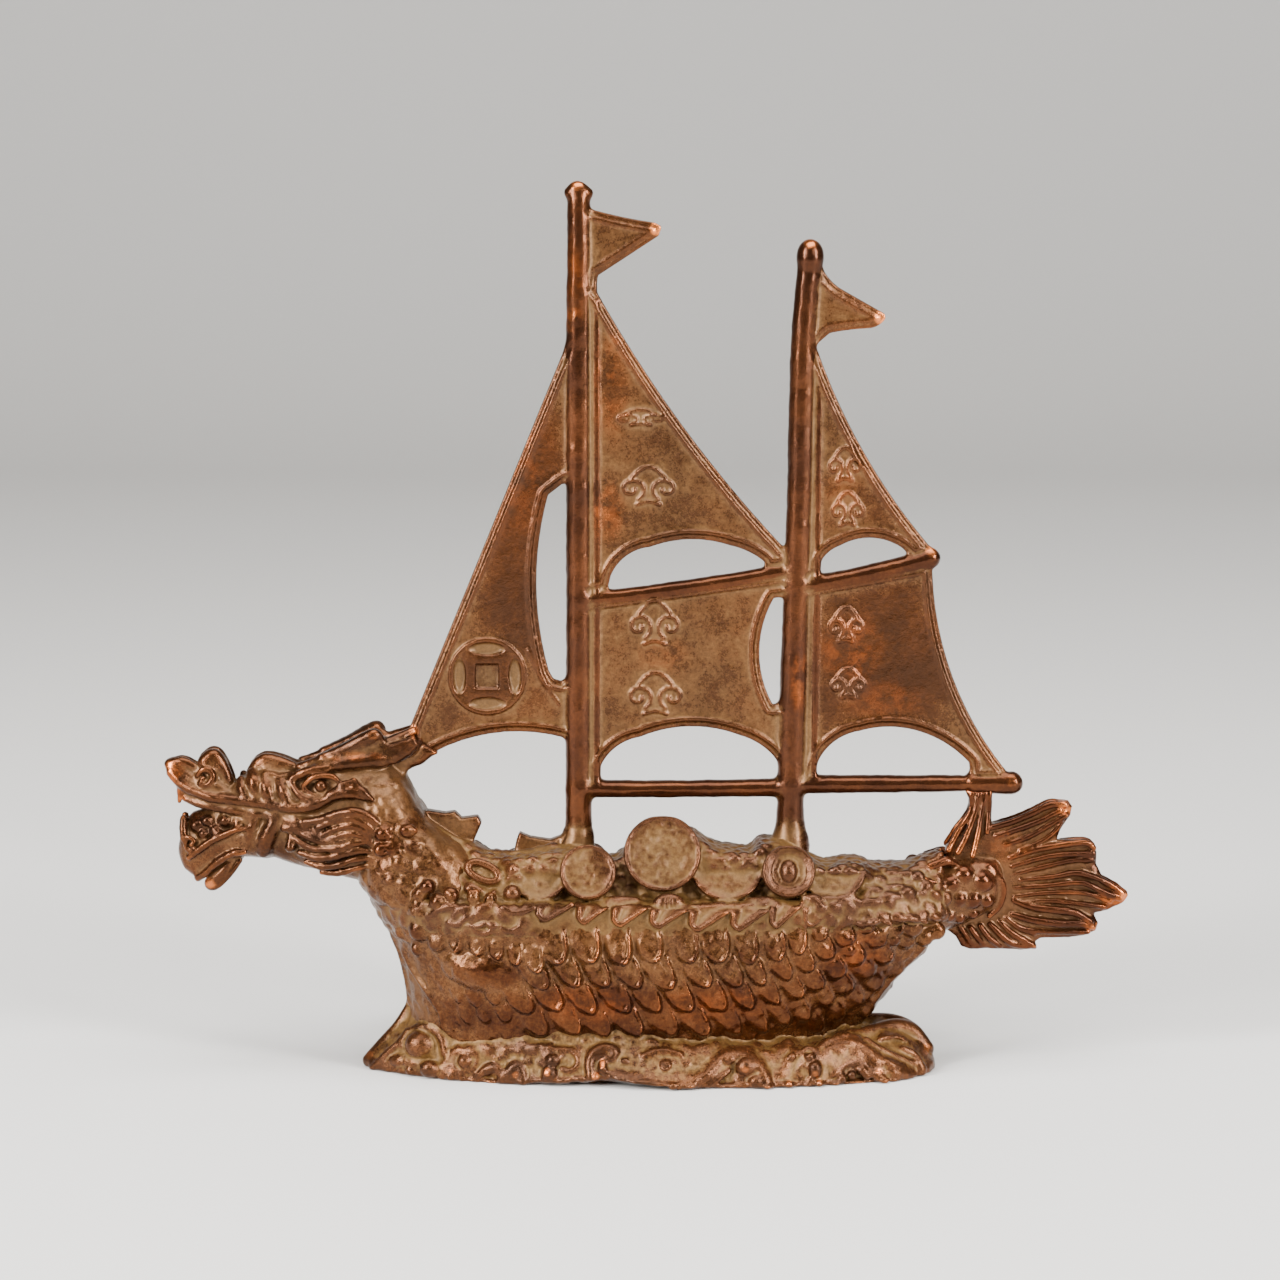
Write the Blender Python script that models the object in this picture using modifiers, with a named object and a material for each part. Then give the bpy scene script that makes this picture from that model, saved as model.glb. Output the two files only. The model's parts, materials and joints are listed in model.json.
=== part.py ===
"""A small cast bronze dragon boat: a scaled hull with a dragon's head and a fan tail, two masts with
sails, treasure piled on the deck, and a wave-shaped base that it stands on.

Every size below is in millimetres and becomes metres where the shapes are made.
X runs from the head (-X) to the tail (+X), Y across the boat, Z up from the base's underside.
"""
import math

import bmesh
import bpy

MM = 0.001
GAP = 0.3

# Masts: the middle of each rod, and the clear lines that the sails stop at.
FORE_MAST_X = -8.9
MAST_HALF = 1.7
MAST_HALF_DEPTH = 1.6
FORE_LUFF = FORE_MAST_X + MAST_HALF + GAP
FORE_FRONT = FORE_MAST_X - MAST_HALF - GAP
FORE_MAST_TOP = 113.9
MAIN_MAST_TOP = 105.5

# Masts by height: columns are height, middle of the rod, half width along X, half depth along Y.
FORE_MAST_STATIONS = (
    (29.0, -9.3, 3.2, 2.6),
    (30.2, -9.1, 2.3, 2.0),
    (33.0, -9.0, 1.8, MAST_HALF_DEPTH),
    (60.0, FORE_MAST_X, MAST_HALF, MAST_HALF_DEPTH),
    (95.0, FORE_MAST_X, 1.6, 1.5),
    (FORE_MAST_TOP, -8.8, 1.55, 1.4),
)
MAIN_MAST_STATIONS = (
    (29.8, 18.8, 2.9, 2.6),
    (31.0, 18.8, 2.2, 2.0),
    (34.0, 18.8, 1.85, MAST_HALF_DEPTH),
    (49.0, 19.0, 1.8, MAST_HALF_DEPTH),
    (70.0, 19.6, 1.7, MAST_HALF_DEPTH),
    (95.0, 20.1, 1.6, 1.5),
    (MAIN_MAST_TOP, 20.9, 1.6, 1.5),
)
MAST_SIDES = 12

# Caps on the mast heads: columns are distance from the axis and height above the mast's end.
FORE_CAP_PROFILE = ((0.0, 1.7), (0.9, 1.4), (1.5, 0.7), (1.7, 0.0), (0.0, 0.0))
MAIN_CAP_PROFILE = ((0.0, 2.9), (1.0, 2.5), (1.6, 1.4), (1.6, 0.7), (1.9, 0.5), (1.9, 0.0), (0.0, 0.0))

# Plates: half thickness along Y of the sails, pennants, yards and fins.
SAIL_HALF = 0.8
YARD_HALF = 1.15
PENNANT_HALF = 0.7
FIN_HALF = 0.9

# Outlines run anticlockwise as seen from the photographed side. Each corner is (x, z), or (x, z, bow)
# where the stretch up to it is an arc that bows out of the piece by bow, or into it where negative.
FORE_PENNANT = ((-7.0, 103.0), (-6.3, 104.3), (1.5, 109.4), (1.9, 110.6), (1.0, 111.1), (-7.0, 113.1, -0.2))
FORE_TOPSAIL = (
    (FORE_LUFF, 63.6), (-5.1, 63.8), (-4.7, 65.3), (0.4, 69.1, -0.9), (10.8, 69.3, -0.9),
    (15.2, 67.2, -0.3), (15.4, 66.9), (17.5, 67.2), (17.6, 69.2), (FORE_LUFF, 103.0, -1.3),
)
FORE_GAFF = ((FORE_LUFF, 61.3), (17.2, 64.9), (17.3, 66.8), (FORE_LUFF, 63.2))
FORE_COURSE = (
    (FORE_LUFF, 38.5), (-6.1, 38.5), (-6.0, 40.3), (-0.9, 44.1, -0.8), (12.2, 44.3, -1.3),
    (16.7, 41.4, -0.4), (16.8, 48.2), (16.4, 48.4), (16.5, 62.4, -1.8), (17.0, 62.6), (17.1, 64.5),
    (FORE_LUFF, 60.9),
)
FORE_BOOM = ((FORE_LUFF, 36.1), (-4.5, 35.9), (14.5, 36.0), (16.6, 36.2), (16.6, 38.2), (FORE_LUFF, 38.2))
JIB = (
    (-30.3, 40.2), (FORE_FRONT, 43.4, -2.7), (FORE_FRONT, 51.6), (-12.7, 51.4), (-12.8, 75.9, -1.55),
    (FORE_FRONT, 77.3), (FORE_FRONT, 94.3), (-30.7, 45.3),
)
MAIN_PENNANT = (
    (22.1, 95.8), (23.6, 96.9), (28.7, 97.5, -0.1), (30.8, 98.9, 0.3), (30.6, 99.4),
    (24.8, 102.7), (22.8, 104.9, -0.2),
)
MAIN_TOPSAIL = (
    (21.6, 65.5), (22.4, 65.8), (22.6, 67.2), (25.1, 69.3, -0.3), (32.2, 69.5, -0.9), (33.6, 68.5, -0.1),
    (36.6, 69.3), (22.1, 95.0, -1.3),
)
MAIN_GAFF = (
    (21.5, 62.9), (26.4, 63.8), (35.5, 65.6), (37.7, 66.3), (38.4, 67.4, 0.2), (37.6, 69.0, 0.3),
    (35.5, 68.6), (32.2, 67.4), (21.6, 65.2),
)
MAIN_COURSE = (
    (21.0, 39.1), (21.9, 39.1), (22.2, 40.4), (27.8, 44.9, -1.0), (35.0, 45.0, -0.5), (42.1, 40.7, -0.6),
    (42.3, 39.8), (46.6, 39.8), (37.1, 65.6, -2.2), (35.5, 65.3), (26.4, 63.5), (21.5, 62.5), (21.1, 50.0),
)
MAIN_BOOM = (
    (21.05, 36.0), (23.3, 36.0), (23.4, 36.9), (42.3, 36.9), (42.6, 36.4), (48.3, 36.4), (49.0, 37.2, 0.2),
    (49.0, 38.8), (48.3, 39.5, 0.2), (42.4, 39.5), (42.2, 38.8), (21.05, 38.8),
)
NECK_FIN = (
    (-27.7, 33.7), (-22.4, 30.0), (-21.9, 31.7), (-21.6, 32.8, 0.1), (-22.5, 33.6, 0.2), (-24.5, 33.3),
    (-26.4, 34.2, -0.1),
)
DECK_FIN = ((-17.3, 29.0), (-12.9, 29.0), (-12.9, 30.3), (-15.3, 30.7), (-16.7, 31.4), (-17.0, 30.4))
FOREHEAD_CREST = ((-52.2, 39.4), (-46.2, 40.1), (-47.8, 40.9), (-49.9, 41.8, 0.1), (-51.2, 41.0, 0.1))
BEARD_CURL = ((-58.3, 24.1), (-57.9, 23.5), (-56.4, 23.4), (-54.3, 26.2, 0.3), (-54.3, 27.6, 0.2))
EAR = ((-41.5, 38.9), (-38.2, 38.9), (-34.6, 42.6), (-35.0, 43.9), (-35.9, 45.1), (-38.5, 43.2))
MANE = (
    (-44.4, 28.0), (-41.0, 26.6, 0.2), (-38.0, 26.2), (-38.0, 31.4), (-36.3, 33.0), (-37.8, 34.9, 0.2),
    (-43.8, 33.4),
)
TAIL_STAY = ((39.0, 28.8), (45.5, 29.0), (45.3, 36.1), (42.1, 36.1), (41.7, 33.7), (40.4, 31.0))
TAIL_FAN = (
    (40.8, 17.5), (42.4, 15.8, 0.2), (45.0, 15.5), (50.9, 15.5), (51.6, 16.2), (53.4, 17.7), (56.9, 17.5),
    (59.3, 18.2, 0.2), (59.6, 19.3), (59.0, 19.8), (62.5, 21.9, 0.2), (63.2, 23.4), (59.6, 26.1), (59.0, 27.3),
    (59.1, 29.2, 0.2), (58.1, 30.2, 0.1), (54.0, 30.5), (55.0, 33.4), (55.7, 34.8), (55.3, 35.6, 0.2),
    (53.9, 35.4, 0.1), (50.8, 34.0), (45.8, 32.2, -0.2), (45.8, 20.6),
)
TAIL_HALF = 1.3

# Hull by height: columns are height, bow x, stern x, half width, and the stern's share of that width.
HULL_STATIONS = (
    (5.6, -31.0, 28.3, 8.8, 0.12),
    (8.0, -31.2, 30.1, 9.8, 0.14),
    (12.3, -31.9, 33.1, 11.2, 0.18),
    (15.8, -32.8, 36.6, 12.0, 0.26),
    (19.5, -34.2, 37.6, 12.3, 0.36),
    (23.0, -35.9, 37.6, 12.1, 0.40),
)
BOW_SHARE = 0.3
STERN_SHARE = 0.45
BOW_ROUNDING = 2.2
PLAN_STEPS = (0.0, 0.01, 0.035, 0.08, 0.14, 0.22, 0.32, 0.5, 0.62, 0.74, 0.84, 0.92, 1.0)

# The scroll band that runs along each side under the deck's edge.
GUNWALE_FROM = 0.06
GUNWALE_TO = 0.95
GUNWALE_STEPS = 12
GUNWALE_BOTTOM = 19.8
GUNWALE_THICKNESS = 0.8

# Base by height: columns are height, bow-end x, stern-end x, half width, and how full its bow half is.
BASE_STATIONS = (
    (0.0, -37.4, 38.0, 12.6, 1.6),
    (1.2, -37.0, 37.8, 12.4, 1.6),
    (3.2, -35.2, 36.2, 11.2, 1.8),
    (5.3, -32.9, 33.2, 9.6, 2.1),
)
BASE_SIDES = 32
BASE_STERN_POWER = 2.4

# Neck by height: columns are height, front x, back x, half width.
NECK_STATIONS = (
    (23.3, -36.2, -20.3, 9.0),
    (25.4, -37.7, -20.6, 8.8),
    (29.0, -37.7, -21.9, 8.0),
    (33.4, -37.7, -28.4, 6.8),
    (36.0, -37.7, -30.0, 6.0),
    (38.6, -37.7, -31.6, 4.6),
    (39.6, -37.2, -32.4, 2.8),
)
NECK_SIDES = 20
NECK_POWER = 2.6

# Head by length: columns are x, lowest z, highest z, half width.
SKULL_STATIONS = (
    (-62.6, 38.3, 40.8, 1.2),
    (-60.5, 36.6, 41.2, 2.6),
    (-58.8, 35.9, 40.0, 3.1),
    (-56.5, 35.5, 39.3, 3.4),
    (-54.0, 35.0, 38.1, 3.4),
    (-51.0, 34.6, 39.0, 4.3),
    (-48.5, 34.3, 39.5, 5.0),
    (-48.2, 28.0, 39.5, 5.1),
    (-45.5, 27.1, 39.6, 5.7),
    (-42.0, 26.0, 39.9, 6.0),
    (-38.0, 25.4, 40.2, 6.0),
)
JAW_STATIONS = (
    (-61.5, 28.0, 31.2, 1.8),
    (-60.2, 26.3, 33.3, 2.8),
    (-57.8, 25.0, 33.8, 3.4),
    (-54.2, 28.3, 34.1, 3.9),
    (-50.0, 28.1, 33.8, 4.4),
    (-48.6, 28.0, 33.7, 4.6),
)
HEAD_SIDES = 14
HEAD_POWER = 2.4
HORN_PATH = ((-45.8, 2.7, 40.8), (-40.0, 2.9, 41.7), (-34.9, 2.6, 42.9), (-30.0, 2.0, 43.6))
HORN_RADII = (0.8, 1.1, 1.0, 0.5)
EYE_CENTRE = (-43.0, 5.6, 37.6)
EYE_RADII = (1.5, 0.6, 0.75)
NOSTRIL_CENTRE = (-56.6, 1.9, 40.9)
NOSTRIL_RADII = (1.7, 1.4, 1.4)
EAR_Y = 4.95
EAR_HALF = 0.6
MANE_Y = 7.0
MANE_HALF = 0.6
CREST_HALF = 1.8
CURL_HALF = 1.2

# Tail root by length: columns are x, lowest z, highest z, half width.
TAIL_ROOT_STATIONS = (
    (37.9, 18.0, 27.4, 4.9),
    (40.5, 19.0, 28.2, 4.4),
    (43.0, 20.1, 28.5, 3.8),
    (45.5, 21.4, 28.2, 3.0),
)

# Treasure heap by length: columns are x, top z, half width at the deck.
DECK_Z = 23.3
HEAP_STATIONS = (
    (-19.9, 28.3, 7.5),
    (-17.5, 28.5, 8.5),
    (-3.0, 28.5, 8.5),
    (0.0, 29.6, 8.5),
    (3.8, 30.4, 8.5),
    (9.2, 29.7, 8.5),
    (15.6, 29.3, 8.5),
    (22.4, 28.9, 8.5),
    (29.0, 27.6, 8.5),
    (33.0, 26.8, 6.8),
    (37.5, 27.2, 5.2),
)
HEAP_SHOULDER = 1.2
LEAN = math.radians(20.0)

# Discs that lean on the heap: columns are name, middle x, middle z, radius, layer, boss radius, and how far
# above the middle the top is cut flat. A round disc has its radius there.
# Layer 0 lies on the heap, and layer 1 lies on the discs of layer 0.
DISC_THICKNESS = 1.2
DISC_SIDES = 20
BOSS_HEIGHT = 0.5
DISCS = (
    ("fore_disc", -13.9, 27.2, 3.7, 0, 0.0, 3.7),
    ("small_coin", -7.6, 27.1, 3.6, 1, 0.0, 3.6),
    ("big_coin", 2.0, 29.4, 4.95, 1, 0.0, 4.95),
    ("mid_disc", 10.4, 28.2, 4.8, 0, 0.0, 2.7),
    ("ring_bead", 18.3, 27.2, 3.4, 1, 1.4, 3.4),
    ("aft_disc", 24.0, 27.9, 4.4, 0, 0.0, 1.4),
)
# Discs on the far side are smaller and lower, since none shows above the near ones. Their lowest edges match,
# and all of them lie on the heap.
FAR_DISC_LESS = 1.3

# Colours: one row for each finish, with its base colour and roughness.
FINISHES = {
    "bronze_base": ((0.26, 0.16, 0.08), 0.45),
    "bronze_hull": ((0.20, 0.10, 0.05), 0.38),
    "bronze_head": ((0.24, 0.13, 0.07), 0.40),
    "bronze_sail": ((0.21, 0.12, 0.06), 0.42),
    "bronze_mast": ((0.24, 0.12, 0.06), 0.36),
    "bronze_deck": ((0.27, 0.17, 0.09), 0.45),
    "bronze_tail": ((0.23, 0.12, 0.06), 0.38),
}

for item in list(bpy.data.objects):
    bpy.data.objects.remove(item, do_unlink=True)

boat = bpy.data.collections.new("dragon_boat")
bpy.context.scene.collection.children.link(boat)
anchor = bpy.data.objects.new("dragon_boat_origin", None)
boat.objects.link(anchor)


def finish_material(piece_name, finish):
    """The piece's own patinated bronze."""
    colour, roughness = FINISHES[finish]
    material = bpy.data.materials.new(piece_name)
    material.use_nodes = True
    shader = material.node_tree.nodes["Principled BSDF"]
    shader.inputs["Base Color"].default_value = (*colour, 1.0)
    shader.inputs["Roughness"].default_value = roughness
    shader.inputs["Metallic"].default_value = 1.0
    return material


def add_piece(name, data, finish):
    """Link one named piece into the boat's collection."""
    piece = bpy.data.objects.new(name, data)
    data.materials.append(finish_material(name, finish))
    boat.objects.link(piece)
    piece.parent = anchor
    return piece


def arc_points(start, end, bow, steps=7):
    """Points after start up to end, on a circle that leaves the straight line by bow to its right."""
    (x0, z0), (x1, z1) = start, end
    chord = math.hypot(x1 - x0, z1 - z0)
    radius = (chord * chord / 4 + bow * bow) / (2 * abs(bow))
    half_angle = 2 * math.atan(2 * abs(bow) / chord)
    along = ((x1 - x0) / chord, (z1 - z0) / chord)
    right = (along[1], -along[0])
    side = math.copysign(1.0, bow)
    points = []
    for step in range(1, steps + 1):
        angle = half_angle * (2 * step / steps - 1)
        forward = radius * math.sin(angle)
        out = side * (radius * math.cos(angle) - (radius - abs(bow)))
        points.append(((x0 + x1) / 2 + along[0] * forward + right[0] * out,
                       (z0 + z1) / 2 + along[1] * forward + right[1] * out))
    return points


def spread_outline(corners):
    """Turn corners with bows into a plain closed list of points."""
    points = []
    for index, corner in enumerate(corners):
        bow = corner[2] if len(corner) == 3 else 0.0
        if bow and index:
            previous = corners[index - 1][:2]
            steps = 7 if math.dist(previous, corner[:2]) > 4.0 else 3
            points.extend(arc_points(previous, corner[:2], bow, steps))
        else:
            points.append(corner[:2])
    return points


def plate(name, corners, half_thickness, finish, y=0.0):
    """A flat piece that stands in the XZ plane, cut to an outline."""
    outline = spread_outline(corners)
    curve = bpy.data.curves.new(name, "CURVE")
    curve.dimensions = "2D"
    curve.fill_mode = "BOTH"
    curve.extrude = half_thickness * MM
    spline = curve.splines.new("POLY")
    spline.points.add(len(outline) - 1)
    for point, (x, z) in zip(spline.points, outline):
        point.co = (x * MM, z * MM, 0.0, 1.0)
    spline.use_cyclic_u = True
    piece = add_piece(name, curve, finish)
    piece.location = (0.0, y * MM, 0.0)
    piece.rotation_euler = (math.radians(90.0), 0.0, 0.0)
    return piece


def loft(name, rings, finish):
    """Close a stack of rings, all with the same number of points, into one solid."""
    mesh = bmesh.new()
    loops = [[mesh.verts.new((x * MM, y * MM, z * MM)) for x, y, z in ring] for ring in rings]
    for lower, upper in zip(loops, loops[1:]):
        for index in range(len(lower)):
            mesh.faces.new((lower[index - 1], lower[index], upper[index], upper[index - 1]))
    mesh.faces.new(loops[0])
    mesh.faces.new(loops[-1])
    bmesh.ops.recalc_face_normals(mesh, faces=mesh.faces)
    data = bpy.data.meshes.new(name)
    mesh.to_mesh(data)
    mesh.free()
    piece = add_piece(name, data, finish)
    data.shade_smooth()
    data.set_sharp_from_angle(angle=math.radians(40.0))
    return piece


def oval(half_a, half_b, sides, power):
    """Points round a superellipse: power 2 is an ellipse, and more is fuller at the corners."""
    points = []
    for index in range(sides):
        angle = 2 * math.pi * (index + 0.5) / sides
        along = math.copysign(abs(math.cos(angle)) ** (2 / power), math.cos(angle))
        across = math.copysign(abs(math.sin(angle)) ** (2 / power), math.sin(angle))
        points.append((half_a * along, half_b * across))
    return points


def level_ring(z, x_from, x_to, half_width, sides, power):
    """A level oval ring at one height."""
    middle = (x_from + x_to) / 2
    return [(middle + a, b, z) for a, b in oval((x_to - x_from) / 2, half_width, sides, power)]


def cross_ring(x, z_from, z_to, half_width, sides, power):
    """An upright oval ring across the boat."""
    middle = (z_from + z_to) / 2
    return [(x, b, middle + a) for a, b in oval((z_to - z_from) / 2, half_width, sides, power)]


def plan_share(t, stern_share):
    """The hull's half width at t along its length, 0 at the bow and 1 at the stern, as a share."""
    if t < BOW_SHARE:
        return (1 - (1 - t / BOW_SHARE) ** BOW_ROUNDING) ** (1 / BOW_ROUNDING)
    if t > 1 - STERN_SHARE:
        return 1 - (1 - stern_share) * ((t - 1 + STERN_SHARE) / STERN_SHARE) ** 2
    return 1.0


def hull_side(z, t):
    """A point (x, half width) on the hull's side, at height z and t along its length."""
    rows = list(zip(HULL_STATIONS, HULL_STATIONS[1:]))
    for low, high in rows:
        if z <= high[0]:
            break
    mix = (z - low[0]) / (high[0] - low[0])
    _, bow, stern, half_width, share = (a + (b - a) * mix for a, b in zip(low, high))
    return bow + (stern - bow) * t, half_width * plan_share(t, share)


def make_hull():
    """The fish-like body, closed by a flat deck and a flat bottom."""
    rings = []
    for z, _, _, _, _ in HULL_STATIONS:
        side = [hull_side(z, t) for t in PLAN_STEPS]
        near = [(x, -y, z) for x, y in side]
        far = [(x, y, z) for x, y in reversed(side[1:])]
        rings.append(near + far)
    loft("hull", rings, "bronze_hull")


def make_gunwale(side_name, side):
    """The scroll band on one side: it follows the hull, a seam away from it."""
    top = HULL_STATIONS[-1][0]
    rings = []
    for step in range(GUNWALE_STEPS + 1):
        t = GUNWALE_FROM + (GUNWALE_TO - GUNWALE_FROM) * step / GUNWALE_STEPS
        ring = []
        for z, offset in ((GUNWALE_BOTTOM, 0.0), (top, 0.0), (top, GUNWALE_THICKNESS),
                          (GUNWALE_BOTTOM, GUNWALE_THICKNESS)):
            x, y = hull_side(z, t)
            x_next, y_next = hull_side(z, t + 0.01)
            run = math.hypot(x_next - x, y_next - y)
            reach = GAP + offset
            ring.append((x - reach * (y_next - y) / run, side * (y + reach * (x_next - x) / run), z))
        rings.append(ring)
    loft("gunwale_" + side_name, rings, "bronze_deck")


def make_base():
    """The flared wave base under the hull, pointed at the bow and fuller at the stern."""
    rings = []
    for z, bow_x, stern_x, half_width, bow_power in BASE_STATIONS:
        bow = level_ring(z, bow_x, stern_x, half_width, BASE_SIDES, bow_power)
        stern = level_ring(z, bow_x, stern_x, half_width, BASE_SIDES, BASE_STERN_POWER)
        middle = (bow_x + stern_x) / 2
        rings.append([a if a[0] < middle else b for a, b in zip(bow, stern)])
    loft("wave_base", rings, "bronze_base")


def make_heap():
    """The heap along the middle of the deck, with leaning sides for the discs to rest on."""
    rings = []
    for x, top, half_width in HEAP_STATIONS:
        shoulder_z = top - HEAP_SHOULDER
        shoulder_y = half_width - (shoulder_z - DECK_Z) * math.tan(LEAN)
        crown_y = shoulder_y * 0.6
        half = [(half_width, DECK_Z), (shoulder_y, shoulder_z), (crown_y, top - 0.25)]
        ring = [(x, y, z) for y, z in half] + [(x, 0.0, top)] + [(x, -y, z) for y, z in reversed(half)]
        rings.append(ring)
    loft("treasure_heap", rings, "bronze_deck")


def make_disc(name, side, x, z, radius, layer, boss_radius, flat_top):
    """A coin, ingot or bead that leans back on the heap's side."""
    if side > 0:
        boss_radius *= (radius - FAR_DISC_LESS) / radius
        radius -= FAR_DISC_LESS
        flat_top -= FAR_DISC_LESS
        z -= FAR_DISC_LESS * math.cos(LEAN)
        layer = 0
    foot_y = max(row[2] for row in HEAP_STATIONS)
    outward = (side * math.cos(LEAN), math.sin(LEAN))
    back = GAP + layer * (DISC_THICKNESS + GAP)
    plane_y = side * (foot_y - (z - DECK_Z) * math.tan(LEAN))
    profile = [(back, radius - 0.25), (back + 0.25, radius), (back + DISC_THICKNESS - 0.3, radius),
               (back + DISC_THICKNESS, radius - 0.4)]
    if boss_radius:
        profile.append((back + DISC_THICKNESS, boss_radius))
        profile.append((back + DISC_THICKNESS + BOSS_HEIGHT, boss_radius * 0.7))
    rings = []
    for out, ring_radius in profile:
        ring = []
        for index in range(DISC_SIDES):
            angle = 2 * math.pi * index / DISC_SIDES
            along = ring_radius * math.cos(angle)
            up = min(ring_radius * math.sin(angle), flat_top)
            ring.append((x + along,
                         plane_y + outward[0] * out - side * up * math.sin(LEAN),
                         z + outward[1] * out + up * math.cos(LEAN)))
        rings.append(ring)
    loft(name, rings, "bronze_deck")


def make_mast(name, stations):
    """A mast: a rod of oval section with a flared foot, following its own slight lean."""
    rings = []
    for z, middle, half_x, half_y in stations:
        rings.append([(middle + a, b, z) for a, b in oval(half_x, half_y, MAST_SIDES, 2.0)])
    loft(name, rings, "bronze_mast")


def make_cap(name, profile, x, z):
    """A turned cap on a mast head."""
    data = bpy.data.meshes.new(name)
    points = [(radius * MM, 0.0, height * MM) for radius, height in profile]
    edges = [(index, index + 1) for index in range(len(points) - 1)]
    data.from_pydata(points, edges, [])
    piece = add_piece(name, data, "bronze_mast")
    piece.location = (x * MM, 0.0, z * MM)
    screw = piece.modifiers.new("turn", "SCREW")
    screw.steps = MAST_SIDES
    screw.render_steps = MAST_SIDES
    screw.use_merge_vertices = True
    screw.merge_threshold = 0.00005
    screw.use_smooth_shade = True


def make_head():
    """The dragon's head, from the snout to the face that meets the neck."""
    for name, stations in (("head_skull", SKULL_STATIONS), ("lower_jaw", JAW_STATIONS)):
        rings = [cross_ring(x, low, high, w, HEAD_SIDES, HEAD_POWER) for x, low, high, w in stations]
        loft(name, rings, "bronze_head")
    plate("forehead_crest", FOREHEAD_CREST, CREST_HALF, "bronze_head")
    plate("beard_curl", BEARD_CURL, CURL_HALF, "bronze_head")


def make_horn(side_name, side):
    """A horn that sweeps back from the brow and tapers to its tip."""
    curve = bpy.data.curves.new("horn_" + side_name, "CURVE")
    curve.dimensions = "3D"
    curve.bevel_depth = MM
    curve.bevel_resolution = 2
    curve.use_fill_caps = True
    spline = curve.splines.new("POLY")
    spline.points.add(len(HORN_PATH) - 1)
    for point, (x, y, z), radius in zip(spline.points, HORN_PATH, HORN_RADII):
        point.co = (x * MM, side * y * MM, z * MM, 1.0)
        point.radius = radius
    add_piece(curve.name, curve, "bronze_head")


def make_bead(name, side, centre, radii):
    """A rounded bead, such as an eye or a nostril bulb."""
    mesh = bmesh.new()
    bmesh.ops.create_uvsphere(mesh, u_segments=12, v_segments=8, radius=1.0)
    for vert in mesh.verts:
        vert.co = [value * radius * MM for value, radius in zip(vert.co, radii)]
    data = bpy.data.meshes.new(name)
    mesh.to_mesh(data)
    mesh.free()
    data.shade_smooth()
    piece = add_piece(name, data, "bronze_head")
    piece.location = (centre[0] * MM, side * centre[1] * MM, centre[2] * MM)


def make_neck():
    """The neck that rises from the bow, and the fins along its back."""
    rings = [level_ring(z, a, b, w, NECK_SIDES, NECK_POWER) for z, a, b, w in NECK_STATIONS]
    loft("neck", rings, "bronze_hull")
    plate("neck_fin", NECK_FIN, FIN_HALF, "bronze_hull")
    plate("deck_fin", DECK_FIN, FIN_HALF, "bronze_hull")


def make_tail():
    """The tail: its root behind the stern, the fan of fins, and the stay up to the boom."""
    rings = [cross_ring(x, low, high, w, HEAD_SIDES, HEAD_POWER) for x, low, high, w in TAIL_ROOT_STATIONS]
    loft("tail_root", rings, "bronze_tail")
    plate("tail_fan", TAIL_FAN, TAIL_HALF, "bronze_tail")
    plate("tail_stay", TAIL_STAY, FIN_HALF, "bronze_tail")


def make_rig():
    """Masts, caps, pennants, sails, gaffs and booms, all in the boat's middle plane."""
    make_mast("fore_mast", FORE_MAST_STATIONS)
    make_mast("main_mast", MAIN_MAST_STATIONS)
    make_cap("fore_mast_cap", FORE_CAP_PROFILE, FORE_MAST_STATIONS[-1][1], FORE_MAST_TOP + GAP)
    make_cap("main_mast_cap", MAIN_CAP_PROFILE, MAIN_MAST_STATIONS[-1][1], MAIN_MAST_TOP + GAP)
    sheets = (("jib", JIB), ("fore_topsail", FORE_TOPSAIL), ("fore_course", FORE_COURSE),
              ("main_topsail", MAIN_TOPSAIL), ("main_course", MAIN_COURSE))
    for name, corners in sheets:
        plate(name, corners, SAIL_HALF, "bronze_sail")
    for name, corners in (("fore_pennant", FORE_PENNANT), ("main_pennant", MAIN_PENNANT)):
        plate(name, corners, PENNANT_HALF, "bronze_sail")
    yards = (("fore_gaff", FORE_GAFF), ("fore_boom", FORE_BOOM), ("main_gaff", MAIN_GAFF), ("main_boom", MAIN_BOOM))
    for name, corners in yards:
        plate(name, corners, YARD_HALF, "bronze_mast")


def make_pairs():
    """What the boat carries once on each side."""
    for side_name, side in (("right", -1), ("left", 1)):
        make_gunwale(side_name, side)
        make_horn(side_name, side)
        make_bead("eye_" + side_name, side, EYE_CENTRE, EYE_RADII)
        make_bead("nostril_" + side_name, side, NOSTRIL_CENTRE, NOSTRIL_RADII)
        plate("ear_" + side_name, EAR, EAR_HALF, "bronze_head", side * EAR_Y)
        plate("mane_" + side_name, MANE, MANE_HALF, "bronze_head", side * MANE_Y)
        for name, *row in DISCS:
            make_disc(name + "_" + side_name, side, *row)


def main():
    """Build the whole boat."""
    make_base()
    make_hull()
    make_neck()
    make_head()
    make_heap()
    make_tail()
    make_rig()
    make_pairs()


main()
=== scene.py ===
"""Looks for a small cast bronze dragon boat.

Each region of the casting is sculpted as a field of signed distances in millimetres, where rods, blobs and
plates melt into each other as they do in a casting. The named parts are then cut out of the fused field and
meshed, so that neighbours meet without a seam. X runs from the head to the tail, Y is across and Z is up.
Shapes are drawn for one side and the other side mirrors it, but for the deck, whose halves are drawn apart.
"""

import json
import math
from collections import namedtuple

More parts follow.
